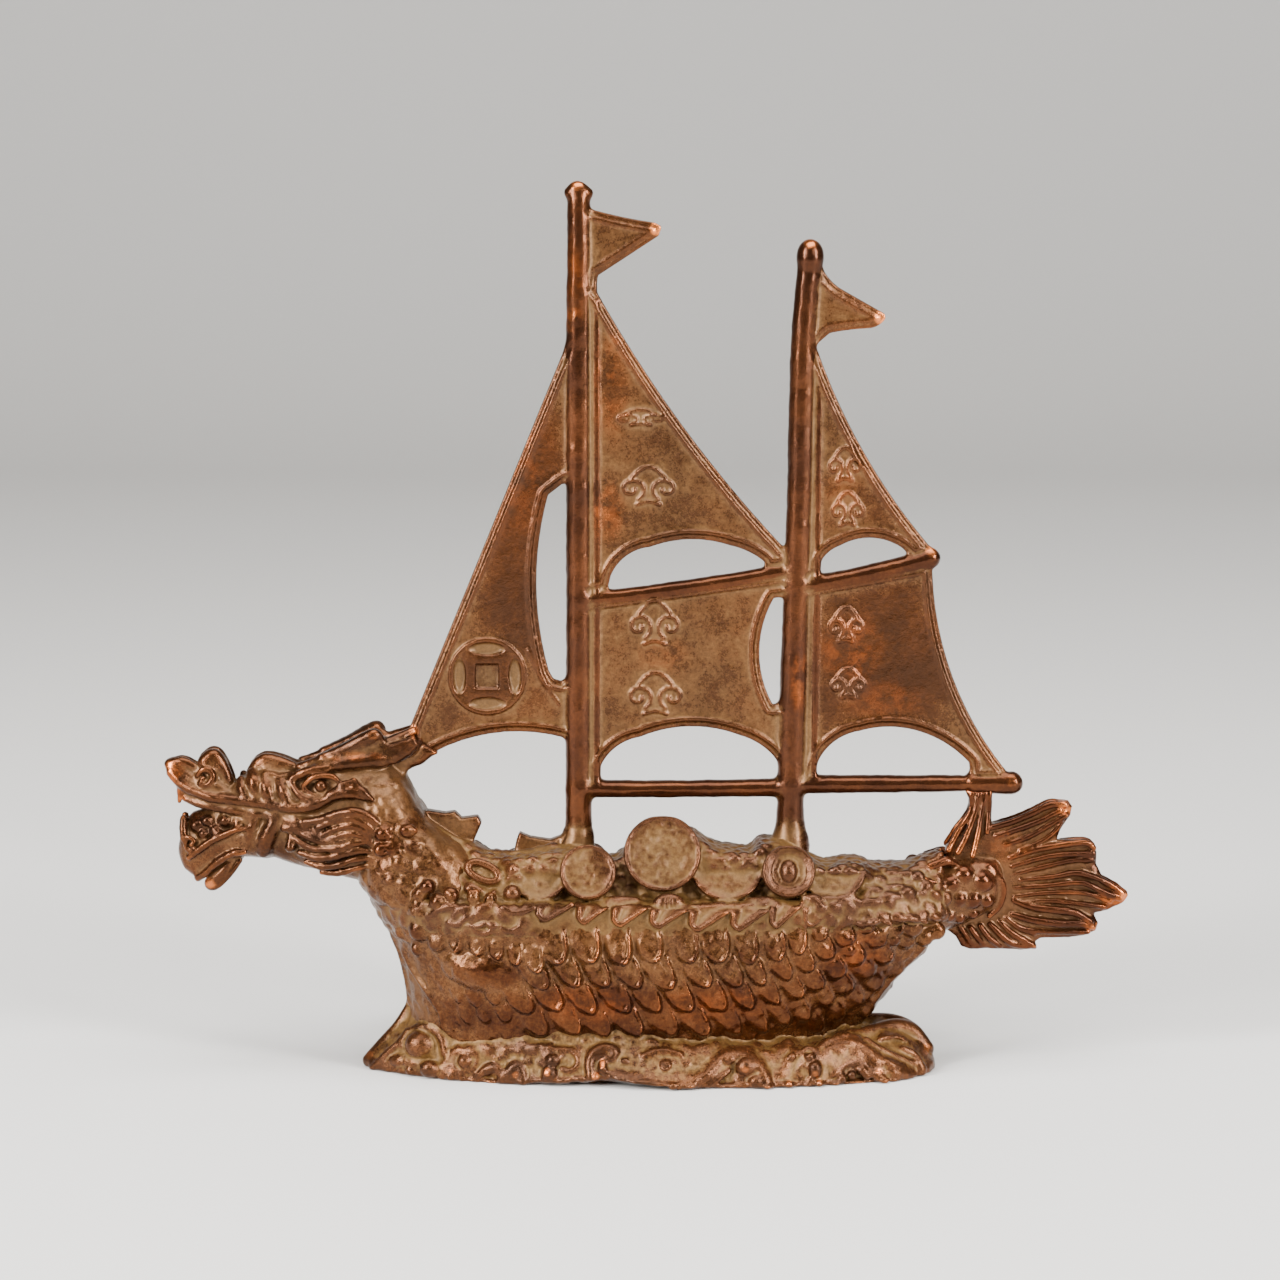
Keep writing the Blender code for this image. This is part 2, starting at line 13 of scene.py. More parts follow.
import bpy
import numpy as np
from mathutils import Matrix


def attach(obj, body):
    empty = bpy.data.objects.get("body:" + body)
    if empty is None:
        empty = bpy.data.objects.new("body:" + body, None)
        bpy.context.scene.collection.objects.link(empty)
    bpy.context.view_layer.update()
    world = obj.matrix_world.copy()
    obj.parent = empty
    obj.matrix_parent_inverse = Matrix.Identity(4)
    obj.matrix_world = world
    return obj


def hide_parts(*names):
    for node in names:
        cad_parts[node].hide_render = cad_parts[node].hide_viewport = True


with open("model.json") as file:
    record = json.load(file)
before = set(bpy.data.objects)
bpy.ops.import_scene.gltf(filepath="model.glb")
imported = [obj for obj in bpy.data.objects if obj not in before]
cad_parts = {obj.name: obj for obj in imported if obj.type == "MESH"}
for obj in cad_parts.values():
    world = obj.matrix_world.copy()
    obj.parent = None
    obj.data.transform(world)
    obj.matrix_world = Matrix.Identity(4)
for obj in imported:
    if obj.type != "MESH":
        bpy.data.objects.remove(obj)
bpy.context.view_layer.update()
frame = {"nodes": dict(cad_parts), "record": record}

MM = 0.001

# A distance that stands for nothing near, and a length that stands for none.
FAR = 9.0
NEAR_ZERO = 1e-9

# The view of the photograph: distance and target in millimetres, elevation in degrees.
VIEW_DISTANCE = 600.0
VIEW_ELEVATION = 8.5
VIEW_TARGET = (-0.9, 0.0, 56.87)
FRAME_WIDTH = 1280 / 7.68
SENSOR = 36.0
# Where the camera's view begins, in metres.
NEAR_CLIP = 0.01

# Sculpted regions: span along X, reach across, span of heights and the grid's step, in millimetres.
REGIONS = {
    "rig": ((-33.0, 51.0), 3.4, (28.0, 117.5), 0.22),
    "head": ((-64.5, -19.0), 11.8, (22.2, 46.8), 0.18),
    "hull": ((-39.0, 41.0), 15.2, (3.6, 26.4), 0.25),
    "deck": ((-30.0, 42.0), 13.6, (20.0, 36.4), 0.2),
    "tail": ((33.5, 65.0), 7.4, (14.2, 38.6), 0.18),
    "base": ((-39.6, 40.4), 14.6, (-1.0, 11.0), 0.22),
}

# How far beyond a small shape and beyond a body the grid still takes their distances.
SHAPE_MARGIN = 1.2
BODY_MARGIN = 1.5

# How many swells make a ripple, and how many points an arc of an outline.
SWELLS = 5
ARC_STEPS = 12

# Weights that shake the cells of a cobbled skin across and up, and how strongly they scatter.
SHAKE_ACROSS = (127.1, 311.7)
SHAKE_UP = (269.5, 183.3)
SCATTER = 437.58

# How far round a point its hollows are measured, and the gap that each of a pair keeps from the middle plane.
FINE_REACH = 0.28
WIDE_REACH = 0.8
SIDE_GAP = 0.3

# The eight corners of a grid's cell.
CELL_CORNERS = [(dx, dy, dz) for dx in (0, 1) for dy in (0, 1) for dz in (0, 1)]

# How far a part reaches under its neighbour, and how deep it dips there.
OVERLAP = 0.6
DIP_SLOPE = 0.3
DIP = 0.08

# The share of a mesh's triangles that is kept, flattest faces first to go.
KEPT_SHARE = 0.42

Shape = namedtuple("Shape", "distance low high")


def smooth_min(a, b, blend):
    """The lower of two distances, rounded over where they lie within blend of each other."""
    if blend <= 0:
        return np.minimum(a, b)
    mix = np.clip(0.5 + 0.5 * (b - a) / blend, 0.0, 1.0)
    return b + (a - b) * mix - blend * mix * (1.0 - mix)


def smooth_max(a, b, blend):
    """The higher of two distances, rounded over in the same way."""
    return -smooth_min(-a, -b, blend)


def smooth_step(value, low, high):
    """0 at low, 1 at high, and smooth between them."""
    mix = np.clip((value - low) / (high - low), 0.0, 1.0)
    return mix * mix * (3.0 - 2.0 * mix)


def bump(value, middle, half_width):
    """A soft ridge: 1 at the middle and 0 beyond half_width."""
    return 1.0 - smooth_step(np.abs(value - middle), 0.0, half_width)


def ripple(x, z, length, seed):
    """Soft unevenness between -1 and 1, with swells about length across."""
    draw = np.random.default_rng(seed)
    total = 0.0
    for _ in range(SWELLS):
        angle = draw.uniform(0.0, 2 * math.pi)
        wave = 2 * math.pi / (length * draw.uniform(0.7, 1.6))
        phase = draw.uniform(0.0, 2 * math.pi)
        total = total + np.sin((x * math.cos(angle) + z * math.sin(angle)) * wave + phase)
    return total / SWELLS


def shaken(i, j, seed, weights):
    """A number between -0.5 and 0.5 for each cell of a grid, the same in every run."""
    value = np.sin(weights[0] * i + weights[1] * j + seed) * SCATTER
    return value - np.floor(value) - 0.5


def cobbles(x, z, spacing, seed):
    """Close-set domes between 0 and 1, one in each cell of a shaken grid."""
    tall = 0.85 * spacing
    column, row = np.floor(x / spacing), np.floor(z / tall)
    best = np.zeros(np.broadcast(x, z).shape)
    for right in (-1, 0, 1):
        for up in (-1, 0, 1):
            i, j = column + right, row + up
            stagger = 0.25 * np.cos(math.pi * j)
            middle_x = (i + 0.5 + stagger + 0.4 * shaken(i, j, seed, SHAKE_ACROSS)) * spacing
            middle_z = (j + 0.5 + 0.4 * shaken(i, j, seed, SHAKE_UP)) * tall
            away = (x - middle_x) ** 2 + (z - middle_z) ** 2
            best = np.maximum(best, 1.0 - away / (0.62 * spacing) ** 2)
    return best


def spline(points, steps=6):
    """Points on a smooth curve through points, which may hold any number of columns."""
    points = np.asarray(points, dtype=float)
    if len(points) < 3:
        return points
    ends = np.vstack([2 * points[0] - points[1], points, 2 * points[-1] - points[-2]])
    result = []
    for index in range(len(points) - 1):
        a, b, c, d = ends[index:index + 4]
        for step in range(steps):
            t = step / steps
            result.append(0.5 * (2 * b + (c - a) * t + (2 * a - 5 * b + 4 * c - d) * t ** 2
                                 + (3 * b - a - 3 * c + d) * t ** 3))
    result.append(points[-1])
    return np.array(result)


def columns(table, place):
    """The further columns of a table at these places in its first one."""
    return [np.interp(place, table[:, 0], column) for column in table.T[1:]]


def stroke(points, flat=1.0):
    """A cord through points of (x, y, z, radius). A flat over 1 widens it across the boat."""
    path = spline(points)
    reach = path[:, 3:4] + SHAPE_MARGIN
    low = (path[:, :3] - reach).min(axis=0)
    high = (path[:, :3] + reach).max(axis=0)

    def distance(x, y, z):
        best = None
        for (ax, ay, az, ar), (bx, by, bz, br) in zip(path, path[1:]):
            dx, dy, dz = bx - ax, (by - ay) / flat, bz - az
            length = dx * dx + dy * dy + dz * dz + NEAR_ZERO
            px, py, pz = x - ax, (y - ay) / flat, z - az
            along = np.clip((px * dx + py * dy + pz * dz) / length, 0.0, 1.0)
            away = np.sqrt((px - along * dx) ** 2 + (py - along * dy) ** 2 + (pz - along * dz) ** 2)
            away = away - (ar + (br - ar) * along)
            best = away if best is None else np.minimum(best, away)
        return best * min(1.0, flat)

    return Shape(distance, low, high)


def blob(centre, radii, turn=0.0):
    """An egg with half sizes radii, turned in the side view by turn degrees."""
    cos, sin = math.cos(math.radians(turn)), math.sin(math.radians(turn))
    reach = max(radii) + SHAPE_MARGIN
    low = np.array(centre) - reach
    high = np.array(centre) + reach

    def distance(x, y, z):
        px, py, pz = x - centre[0], y - centre[1], z - centre[2]
        along = (px * cos + pz * sin) / radii[0]
        up = (pz * cos - px * sin) / radii[2]
        across = py / radii[1]
        size = np.sqrt(along ** 2 + across ** 2 + up ** 2)
        slope = np.sqrt((along / radii[0]) ** 2 + (across / radii[1]) ** 2 + (up / radii[2]) ** 2)
        return size * (size - 1.0) / np.maximum(slope, 1e-6)

    return Shape(distance, low, high)


def outline_distance(corners, x, z):
    """Signed distance in the side view to a closed outline, below zero inside it."""
    best = np.full(np.broadcast(x, z).shape, 1e9)
    inside = np.zeros(best.shape, dtype=bool)
    for (ax, az), (bx, bz) in zip(corners, corners[1:] + corners[:1]):
        dx, dz = bx - ax, bz - az
        px, pz = x - ax, z - az
        along = np.clip((px * dx + pz * dz) / (dx * dx + dz * dz), 0.0, 1.0)
        best = np.minimum(best, (px - along * dx) ** 2 + (pz - along * dz) ** 2)
        if az != bz:
            inside ^= ((az > z) != (bz > z)) & (px < dx * pz / dz)
    return np.where(inside, -1.0, 1.0) * np.sqrt(best)


def arc_points(start, end, bow, steps):
    """Points after start up to end, on a circle that leaves the straight line by bow to its right."""
    (x0, z0), (x1, z1) = start, end
    chord = math.hypot(x1 - x0, z1 - z0)
    radius = (chord * chord / 4 + bow * bow) / (2 * abs(bow))
    half_angle = 2 * math.atan(2 * abs(bow) / chord)
    along = ((x1 - x0) / chord, (z1 - z0) / chord)
    right = (along[1], -along[0])
    side = math.copysign(1.0, bow)
    points = []
    for step in range(1, steps + 1):
        angle = half_angle * (2 * step / steps - 1)
        forward = radius * math.sin(angle)
        out = side * (radius * math.cos(angle) - (radius - abs(bow)))
        points.append(((x0 + x1) / 2 + along[0] * forward + right[0] * out,
                       (z0 + z1) / 2 + along[1] * forward + right[1] * out))
    return points


def spread_outline(corners):
    """Turn corners of (x, z) or (x, z, bow) into a plain list; bow rounds the stretch up to that corner."""
    points = []
    for index, corner in enumerate(corners):
        if len(corner) == 3 and index:
            points.extend(arc_points(corners[index - 1][:2], corner[:2], corner[2], ARC_STEPS))
        else:
            points.append(corner[:2])
    return points


def rounded_section(first, second, half_first, half_second, power):
    """Signed distance to a section with half sizes in two directions, between an ellipse and a box."""
    a = np.abs(first) / half_first
    b = np.abs(second) / half_second
    size = np.maximum((a ** power + b ** power) ** (1.0 / power), 1e-4)
    slope = np.hypot((a / size) ** (power - 1) / half_first, (b / size) ** (power - 1) / half_second)
    return (size - 1.0) / np.maximum(slope, 1e-3)


def loft(stations, power=2.4, end_blend=1.0, upright=False):
    """A body along X through stations of (x, lowest z, highest z, half width).

    An upright one rises through stations of (z, front x, back x, half width)."""
    rows = np.array(stations, dtype=float)
    start, stop, widest = rows[0, 0], rows[-1, 0], rows[:, 3].max()
    low = np.array([start, -widest, rows[:, 1].min()]) - BODY_MARGIN
    high = np.array([stop, widest, rows[:, 2].max()]) + BODY_MARGIN
    if upright:
        low, high = low[::-1], high[::-1]

    def distance(x, y, z):
        along, over = (z, x) if upright else (x, z)
        first, last, width = columns(rows, along)
        body = rounded_section(y, over - (first + last) / 2, width, (last - first) / 2, power)
        ends = np.maximum(start - along, along - stop)
        return smooth_max(body, ends + 0.0 * body, end_blend)

    return Shape(distance, low, high)


def plate(corners, half, blend, middle=0.0):
    """A flat piece with this outline in the side view, of half thickness half about y = middle."""
    points = np.array(corners, dtype=float)
    (left, bottom), (right, top) = points.min(axis=0), points.max(axis=0)
    low = np.array([left, middle - half, bottom]) - BODY_MARGIN
    high = np.array([right, middle + half, top]) + BODY_MARGIN

    def distance(x, y, z):
        edge = outline_distance(corners, x[:, 0, :], z[0, :, :])[:, None, :]
        return smooth_max(np.abs(y - middle) - half + 0.0 * edge, edge + 0.0 * y, blend)

    return Shape(distance, low, high)


def strokes(field, part, rows, blend):
    """Melt several cords into a part; a row of one point is a ball."""
    for row in rows:
        if len(row) == 1:
            x, y, z, radius = row[0]
            field.add(part, blob((x, y, z), (radius, radius, radius)), blend)
        else:
            field.add(part, stroke(row), blend)


class Field:
    """Distances on a grid from the middle plane outwards, with one layer for each named part."""

    def __init__(self, span_x, reach_y, span_z, step):
        self.step = step
        self.x, self.y, self.z = (
            (start + step * np.arange(math.ceil((stop - start) / step) + 1)).astype(np.float32)
            for start, stop in (span_x, (0.0, reach_y), span_z))
        self.size = (len(self.x), len(self.y), len(self.z))
        self.parts = {}
        self.fused = None

    def window(self, low, high):
        """The slices of the grid that hold a box."""
        slices = []
        for axis, a, b in zip((self.x, self.y, self.z), low, high):
            start = int(np.searchsorted(axis, a))
            stop = int(np.searchsorted(axis, b))
            slices.append(slice(start, max(stop, start)))
        return tuple(slices)

    def places(self, window=(slice(None),) * 3):
        """X, Y and Z of a window, or of the whole grid, ready to combine."""
        return (self.x[window[0]][:, None, None], self.y[window[1]][None, :, None],
                self.z[window[2]][None, None, :])

    def layer(self, part):
        """The part's own distances."""
        if part not in self.parts:
            self.parts[part] = np.full(self.size, FAR, dtype=np.float32)
        return self.parts[part]

    def add(self, part, shape, blend):
        """Melt a shape into a part."""
        layer = self.layer(part)
        window = self.window(shape.low, shape.high)
        if layer[window].size:
            layer[window] = smooth_min(layer[window], shape.distance(*self.places(window)), blend)

    def carve(self, part, shape, blend):
        """Press a shape into a part."""
        layer = self.layer(part)
        window = self.window(shape.low, shape.high)
        if layer[window].size:
            layer[window] = smooth_max(layer[window], -shape.distance(*self.places(window)), blend)

    def roughen(self, parts, coarse, fine, slant):
        """Make parts uneven by coarse and fine swells of (height, length, seed), the fine ones on a slant."""
        x, y, z = self.places()
        grain = (coarse[0] * ripple(x, z, *coarse[1:])
                 + fine[0] * ripple(x + slant * y, z, *fine[1:])).astype(np.float32)
        for part in parts:
            self.parts[part] -= grain
        return grain

    def fuse(self, blend):
        """Melt all parts into one casting."""
        layers = list(self.parts.values())
        fused = layers[0].copy()
        for layer in layers[1:]:
            fused = smooth_min(fused, layer, blend)
        self.fused = fused.astype(np.float32)

    def only(self, part):
        """One part's share of the fused casting: it dips under its neighbours where they take over."""
        own = self.parts[part]
        others = np.full(self.size, FAR, dtype=np.float32)
        for name, layer in self.parts.items():
            if name != part:
                np.minimum(others, layer, out=others)
        border = (own - others) / 2
        dip = np.clip(border * DIP_SLOPE, 0.0, DIP)
        return np.maximum(self.fused + dip, border - OVERLAP)


def blur(values, radius):
    """Three box blurs along each axis, close to a round one."""
    for _ in range(3):
        for axis in range(values.ndim):
            padded = np.concatenate([np.repeat(np.take(values, [0], axis), radius + 1, axis), values,
                                     np.repeat(np.take(values, [-1], axis), radius, axis)], axis)
            total = np.cumsum(padded, axis=axis, dtype=np.float64)
            width = 2 * radius + 1
            count = values.shape[axis]
            ahead = np.take(total, range(width, width + count), axis)
            behind = np.take(total, range(count), axis)
            values = ((ahead - behind) / width).astype(np.float32)
    return values


def sample(values, points, low, step):
    """Values of a grid at points, linear between its nodes."""
    places = (points - low) / step
    base = np.floor(places).astype(int)
    for axis in range(3):
        base[:, axis] = np.clip(base[:, axis], 0, values.shape[axis] - 2)
    part = np.clip(places - base, 0.0, 1.0)
    total = np.zeros(len(points))
    for dx, dy, dz in CELL_CORNERS:
        weight = (np.abs(1 - dx - part[:, 0]) * np.abs(1 - dy - part[:, 1])
                  * np.abs(1 - dz - part[:, 2]))
        total += weight * values[base[:, 0] + dx, base[:, 1] + dy, base[:, 2] + dz]
    return total


def surface(values, low, step):
    """Quads along the zero level of a grid: one point in each cell that the level crosses."""
    inside = values < 0
    nx, ny, nz = values.shape
    count = np.zeros((nx - 1, ny - 1, nz - 1), dtype=np.int8)
    for dx, dy, dz in CELL_CORNERS:
        count += inside[dx:nx - 1 + dx, dy:ny - 1 + dy, dz:nz - 1 + dz]
    cells = np.argwhere((count > 0) & (count < len(CELL_CORNERS)))
    corner = {}
    for dx, dy, dz in CELL_CORNERS:
        corner[dx, dy, dz] = values[cells[:, 0] + dx, cells[:, 1] + dy, cells[:, 2] + dz]
    total = np.zeros((len(cells), 3))
    hits = np.zeros(len(cells))
    for start in corner:
        for axis in range(3):
            if start[axis]:
                continue
            end = tuple(value + (index == axis) for index, value in enumerate(start))
            a, b = corner[start], corner[end]
            crossed = (a < 0) != (b < 0)
            share = np.where(crossed, a / np.where(crossed, a - b, 1.0), 0.0)
            hits += crossed
            for index in range(3):
                total[:, index] += crossed * (start[index] + (share if index == axis else 0.0))
    points = low + step * (cells + total / hits[:, None])
    index = np.full(count.shape, -1, dtype=np.int64)
    index[cells[:, 0], cells[:, 1], cells[:, 2]] = np.arange(len(cells))
    quads = []
    for axis in range(3):
        first = [slice(None)] * 3
        second = [slice(None)] * 3
        first[axis] = slice(0, -1)
        second[axis] = slice(1, None)
        leaving = inside[tuple(first)] & ~inside[tuple(second)]
        entering = ~inside[tuple(first)] & inside[tuple(second)]
        u, v = (axis + 1) % 3, (axis + 2) % 3
        for mask, order in ((leaving, (0, 1, 2, 3)), (entering, (3, 2, 1, 0))):
            edges = np.argwhere(mask)
            edges = edges[(edges[:, u] > 0) & (edges[:, v] > 0)]
            edges = edges[(edges[:, u] < count.shape[u]) & (edges[:, v] < count.shape[v])]
            ring = []
            for du, dv in ((0, 0), (-1, 0), (-1, -1), (0, -1)):
                cell = edges.copy()
                cell[:, u] += du
                cell[:, v] += dv
                ring.append(index[cell[:, 0], cell[:, 1], cell[:, 2]])
            quads.append(np.stack([ring[k] for k in order], axis=1))
    return points, np.vstack(quads)


def both_halves(near, far):
    """The whole grid from its near half, below the middle plane, and its far half."""
    return np.concatenate([near[:, :0:-1], far], axis=1)


def make_mesh(name, points, quads, attributes):
    """A smooth mesh in metres from points in millimetres."""
    mesh = bpy.data.meshes.new(name)
    mesh.vertices.add(len(points))
    mesh.vertices.foreach_set("co", (points * MM).astype(np.float32).ravel())
    mesh.loops.add(quads.size)
    mesh.loops.foreach_set("vertex_index", quads.astype(np.int32).ravel())
    mesh.polygons.add(len(quads))
    mesh.polygons.foreach_set("loop_start", np.arange(0, quads.size, 4, dtype=np.int32))
    mesh.update(calc_edges=True)
    for label, values in attributes.items():
        layer = mesh.attributes.new(label, "FLOAT", "POINT")
        layer.data.foreach_set("value", values.astype(np.float32))
    mesh.shade_smooth()
    return mesh


def thinned(mesh, share):
    """The mesh with its flattest faces merged until this share of its triangles is left."""
    holder = bpy.data.objects.new("thinned", mesh)
    bpy.context.scene.collection.objects.link(holder)
    modifier = holder.modifiers.new("thin", "DECIMATE")
    modifier.ratio = share
    graph = bpy.context.evaluated_depsgraph_get()
    result = bpy.data.meshes.new_from_object(holder.evaluated_get(graph))
    result.name = mesh.name
    bpy.data.objects.remove(holder)
    return result


# Local tones in the side view: columns are x, z, half width, half height and strength.
RUBBED = (
    (-62.2, 40.3, 1.4, 1.4, 0.6), (-60.9, 38.3, 1.2, 1.2, 0.5), (-61.0, 36.0, 0.9, 0.9, 0.5),
    (-57.2, 25.0, 1.3, 1.3, 0.6), (1.3, 110.4, 1.3, 1.3, 1.0), (30.5, 99.0, 1.6, 1.6, 1.0),
    (54.9, 35.0, 1.8, 1.8, 0.6), (58.3, 29.6, 1.4, 1.4, 0.5), (62.8, 23.3, 1.4, 1.6, 0.7),
    (58.9, 18.8, 1.2, 1.4, 0.6), (-9.0, 116.0, 1.3, 1.3, 0.7), (21.0, 108.6, 1.4, 1.4, 0.6),
    (-9.9, 99.0, 1.6, 3.5, 0.5), (36.9, 68.6, 1.3, 1.3, 0.6), (47.6, 38.4, 1.5, 1.5, 0.5),
    (12.6, 2.6, 1.1, 0.8, 0.5), (-36.6, 1.6, 1.2, 1.2, 0.5), (36.9, 2.8, 1.3, 1.3, 0.5),
    (-12.9, 2.1, 0.7, 0.8, 0.7), (-5.8, 3.2, 0.5, 0.8, 0.8), (-35.6, 44.9, 1.3, 1.3, 0.4),
    (18.4, 0.7, 0.6, 0.5, 0.6), (30.2, 1.6, 0.8, 0.6, 0.6), (-25.5, 1.4, 0.6, 0.5, 0.6),
    (22.3, 0.8, 0.5, 0.5, 0.6), (-30.4, 45.0, 1.2, 1.2, 0.6), (-6.6, 1.6, 0.9, 0.9, 0.6),
    (-17.0, 1.4, 0.9, 0.9, 0.5), (21.8, 1.8, 0.8, 0.8, 0.5), (-39.5, 42.6, 5.0, 0.5, 0.3),
)
RUSTY = (
    (62.0, 23.0, 3.0, 2.4, 1.8), (58.2, 18.9, 2.2, 1.5, 1.6), (54.6, 35.0, 1.6, 1.4, 1.2),
    (47.0, 30.0, 4.0, 3.0, 0.5), (-61.6, 38.6, 1.8, 2.8, 1.6), (-61.0, 36.0, 1.0, 1.2, 1.5),
    (-38.0, 42.2, 5.0, 0.7, 0.8), (-39.5, 38.0, 2.0, 1.0, 0.5), (-4.6, 90.0, 2.6, 8.0, 0.8),
    (-5.2, 74.0, 2.6, 5.0, 0.9), (26.5, 56.0, 4.5, 5.0, 0.9), (19.8, 52.0, 1.4, 5.0, 0.8),
    (31.0, 49.0, 6.0, 3.0, 0.4), (-9.4, 103.0, 1.6, 8.0, 0.6), (-17.0, 80.0, 6.0, 12.0, 0.4),
    (2.0, 55.0, 4.0, 3.0, 0.4), (7.4, 10.7, 1.6, 1.2, 1.0), (-4.8, 11.2, 1.3, 1.1, 1.0),
    (9.0, 11.0, 9.0, 3.5, 0.5), (-8.0, 11.0, 8.0, 3.5, 0.5), (27.0, 17.0, 5.0, 4.0, 0.6),
    (25.0, 77.0, 3.0, 4.0, 0.3),
)
# Darker spots. Those in the mouth, under the jaw and at the throat, under the base's overhanging lip and over
# the lower hull, which faces down, are painted shade; those on the sails, the jib's coin and the base's knobs
# are darker patina; the rest darken the mane, the neck and the band where the waves meet the hull.
DARK_PATINA_AND_PAINTED_SHADE = (
    (-12.0, 7.6, 7.0, 1.1, 0.6), (6.0, 7.2, 9.0, 1.1, 0.6), (21.5, 6.6, 5.0, 1.0, 0.6),
    (-12.4, 2.8, 1.3, 2.2, 1.1), (-17.2, 2.0, 1.4, 1.3, 1.1), (-20.3, 2.0, 1.4, 1.3, 1.0),
    (-5.9, 3.6, 1.3, 2.2, 1.0), (12.4, 2.9, 2.4, 2.2, 1.0), (14.6, 0.9, 1.5, 1.3, 1.1),
    (21.7, 2.8, 1.2, 2.2, 1.2), (28.0, 1.8, 3.4, 1.5, 1.2), (-29.5, 6.0, 2.2, 2.0, 0.5),
    (36.4, 4.2, 1.4, 2.6, 0.9), (33.0, 7.0, 2.8, 1.3, 0.6), (-2.6, 0.6, 3.6, 1.0, 1.1),
    (2.4, 3.2, 1.0, 1.1, 0.7), (-25.5, 1.6, 1.1, 1.0, 0.8), (-24.0, 3.4, 1.0, 1.0, 0.6),
    (7.8, 1.2, 2.0, 1.0, 0.6), (-56.2, 29.2, 4.5, 2.2, 0.5), (-48.5, 30.5, 3.0, 3.0, 0.4),
    (-57.0, 32.6, 4.8, 1.9, 0.9), (-43.0, 32.4, 3.0, 1.6, 0.7), (-34.5, 31.5, 3.0, 4.0, 0.6),
    (-15.5, 72.0, 8.0, 26.0, 0.8), (-20.8, 52.2, 5.4, 5.4, 0.95), (30.0, 55.0, 13.0, 13.0, 0.8),
    (0.0, 9.0, 38.0, 6.0, 0.6), (24.0, 15.0, 12.0, 7.0, 0.4), (-20.0, 15.0, 5.5, 3.0, 0.5),
    (27.5, 76.0, 6.0, 9.0, 0.3),
)
DUSTED = (
    (-9.0, 31.0, 3.2, 3.0, 1.2), (18.8, 31.6, 3.2, 3.0, 1.2), (5.0, 37.3, 12.5, 1.8, 0.9),
    (31.0, 38.0, 9.5, 1.8, 0.7), (-20.8, 52.2, 1.9, 1.9, 1.6), (-20.8, 55.8, 2.6, 1.0, 1.6),
    (-20.8, 48.6, 2.6, 1.0, 1.6), (-24.4, 52.2, 1.0, 2.6, 1.6), (-17.2, 52.2, 1.0, 2.6, 1.6),
    (1.8, 30.0, 6.0, 6.0, 1.0), (-25.4, 32.0, 4.5, 3.0, 0.8), (-15.0, 29.8, 3.5, 2.0, 0.8),
    (-32.5, 38.0, 5.0, 4.5, 0.5), (10.4, 28.0, 5.5, 4.5, 0.35), (24.5, 27.6, 5.0, 3.5, 0.35),
    (-14.0, 27.0, 4.5, 3.5, 0.35), (-31.0, 9.0, 4.0, 7.0, 0.5), (4.0, 53.0, 14.0, 10.0, 0.15),
    (3.0, 78.0, 12.0, 9.0, 0.15), (0.0, 24.5, 30.0, 2.5, 0.25), (-8.2, 27.4, 4.2, 4.2, 0.8),
)
TONES = {"rubbed": RUBBED, "rusty": RUSTY, "darkened": DARK_PATINA_AND_PAINTED_SHADE, "dusted": DUSTED}

# Where a local tone begins to fade and where it ends, as shares of its half width and half height.
TONE_FADE = (0.3, 1.15)


def tone(points, rows):
    """How strongly each point takes a local tone."""
    strongest = np.zeros(len(points))
    for x, z, half_width, half_height, strength in rows:
        away = np.hypot((points[:, 0] - x) / half_width, (points[:, 2] - z) / half_height)
        strongest = np.maximum(strongest, strength * (1.0 - smooth_step(away, *TONE_FADE)))
    return strongest


def place(name, mesh, finish, node):
    """Put a finished mesh into the scene as the piece that stands for this node."""
    mesh.materials.clear()
    mesh.materials.append(MATERIALS[finish])
    piece = bpy.data.objects.new(name, mesh)
    bpy.context.scene.collection.objects.link(piece)
    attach(piece, "root")
    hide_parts(node)


def cast(field, finish, middle=(), pairs=(), far_field=None, share=KEPT_SHARE):
    """Mesh parts of a fused field, whose far side mirrors it or is a field of its own.

    A part in the middle becomes one piece, and one of the pairs a piece on each side."""
    far_field = far_field or field
    fused = both_halves(field.fused, far_field.fused)
    solid = np.clip(0.5 - fused / (2 * field.step), 0.0, 1.0).astype(np.float32)
    fine = blur(solid, max(1, round(FINE_REACH / field.step)))
    wide = blur(solid, max(1, round(WIDE_REACH / field.step)))
    origin = np.array([field.x[0], -field.y[-1], field.z[0]], dtype=float)
    across = np.concatenate([-field.y[:0:-1], field.y])
    for part in (*middle, *pairs):
        whole = both_halves(field.only(part), far_field.only(part))
        for ending, side in (("_right", -1), ("_left", 1)) if part in pairs else (("", 0),):
            values = whole
            if side:
                values = np.maximum(values, (SIDE_GAP - side * across)[None, :, None])
            inside = values < 0
            held = [np.flatnonzero(inside.any(axis=rest)) for rest in ((1, 2), (0, 2), (0, 1))]
            starts = [max(0, rows[0] - 2) for rows in held]
            cut = tuple(slice(start, rows[-1] + 3) for start, rows in zip(starts, held))
            low = origin + field.step * np.array(starts)
            points, quads = surface(values[cut], low, field.step)
            attributes = {label: tone(points, rows) for label, rows in TONES.items()}
            attributes["fine"] = sample(fine, points, origin, field.step) - 0.5
            attributes["wide"] = sample(wide, points, origin, field.step) - 0.5
            name = "cast_" + part + ending
            mesh = thinned(make_mesh(name, points, quads, attributes), share)
            place(name, mesh, finish, part + ending)


# Materials
def add_node(tree, kind, inputs=None, **settings):
    """A node with its settings, whose inputs are linked or set by name or number."""
    node = tree.nodes.new(kind)
    for key, value in settings.items():
        setattr(node, key, value)
    for key, value in (inputs or {}).items():
        if isinstance(value, bpy.types.NodeSocket):
            tree.links.new(value, node.inputs[key])
        else:
            node.inputs[key].default_value = value
    return node


def mapped(tree, value, low, high, out_low=0.0, out_high=1.0):
    """A value stretched from one range to another and held at its ends."""
    inputs = {"Value": value, "From Min": low, "From Max": high, "To Min": out_low, "To Max": out_high}
    return add_node(tree, "ShaderNodeMapRange", inputs, interpolation_type="SMOOTHSTEP").outputs["Result"]


def math_node(tree, operation, first, second):
    """One sum on two values."""
    return add_node(tree, "ShaderNodeMath", {0: first, 1: second}, operation=operation).outputs[0]


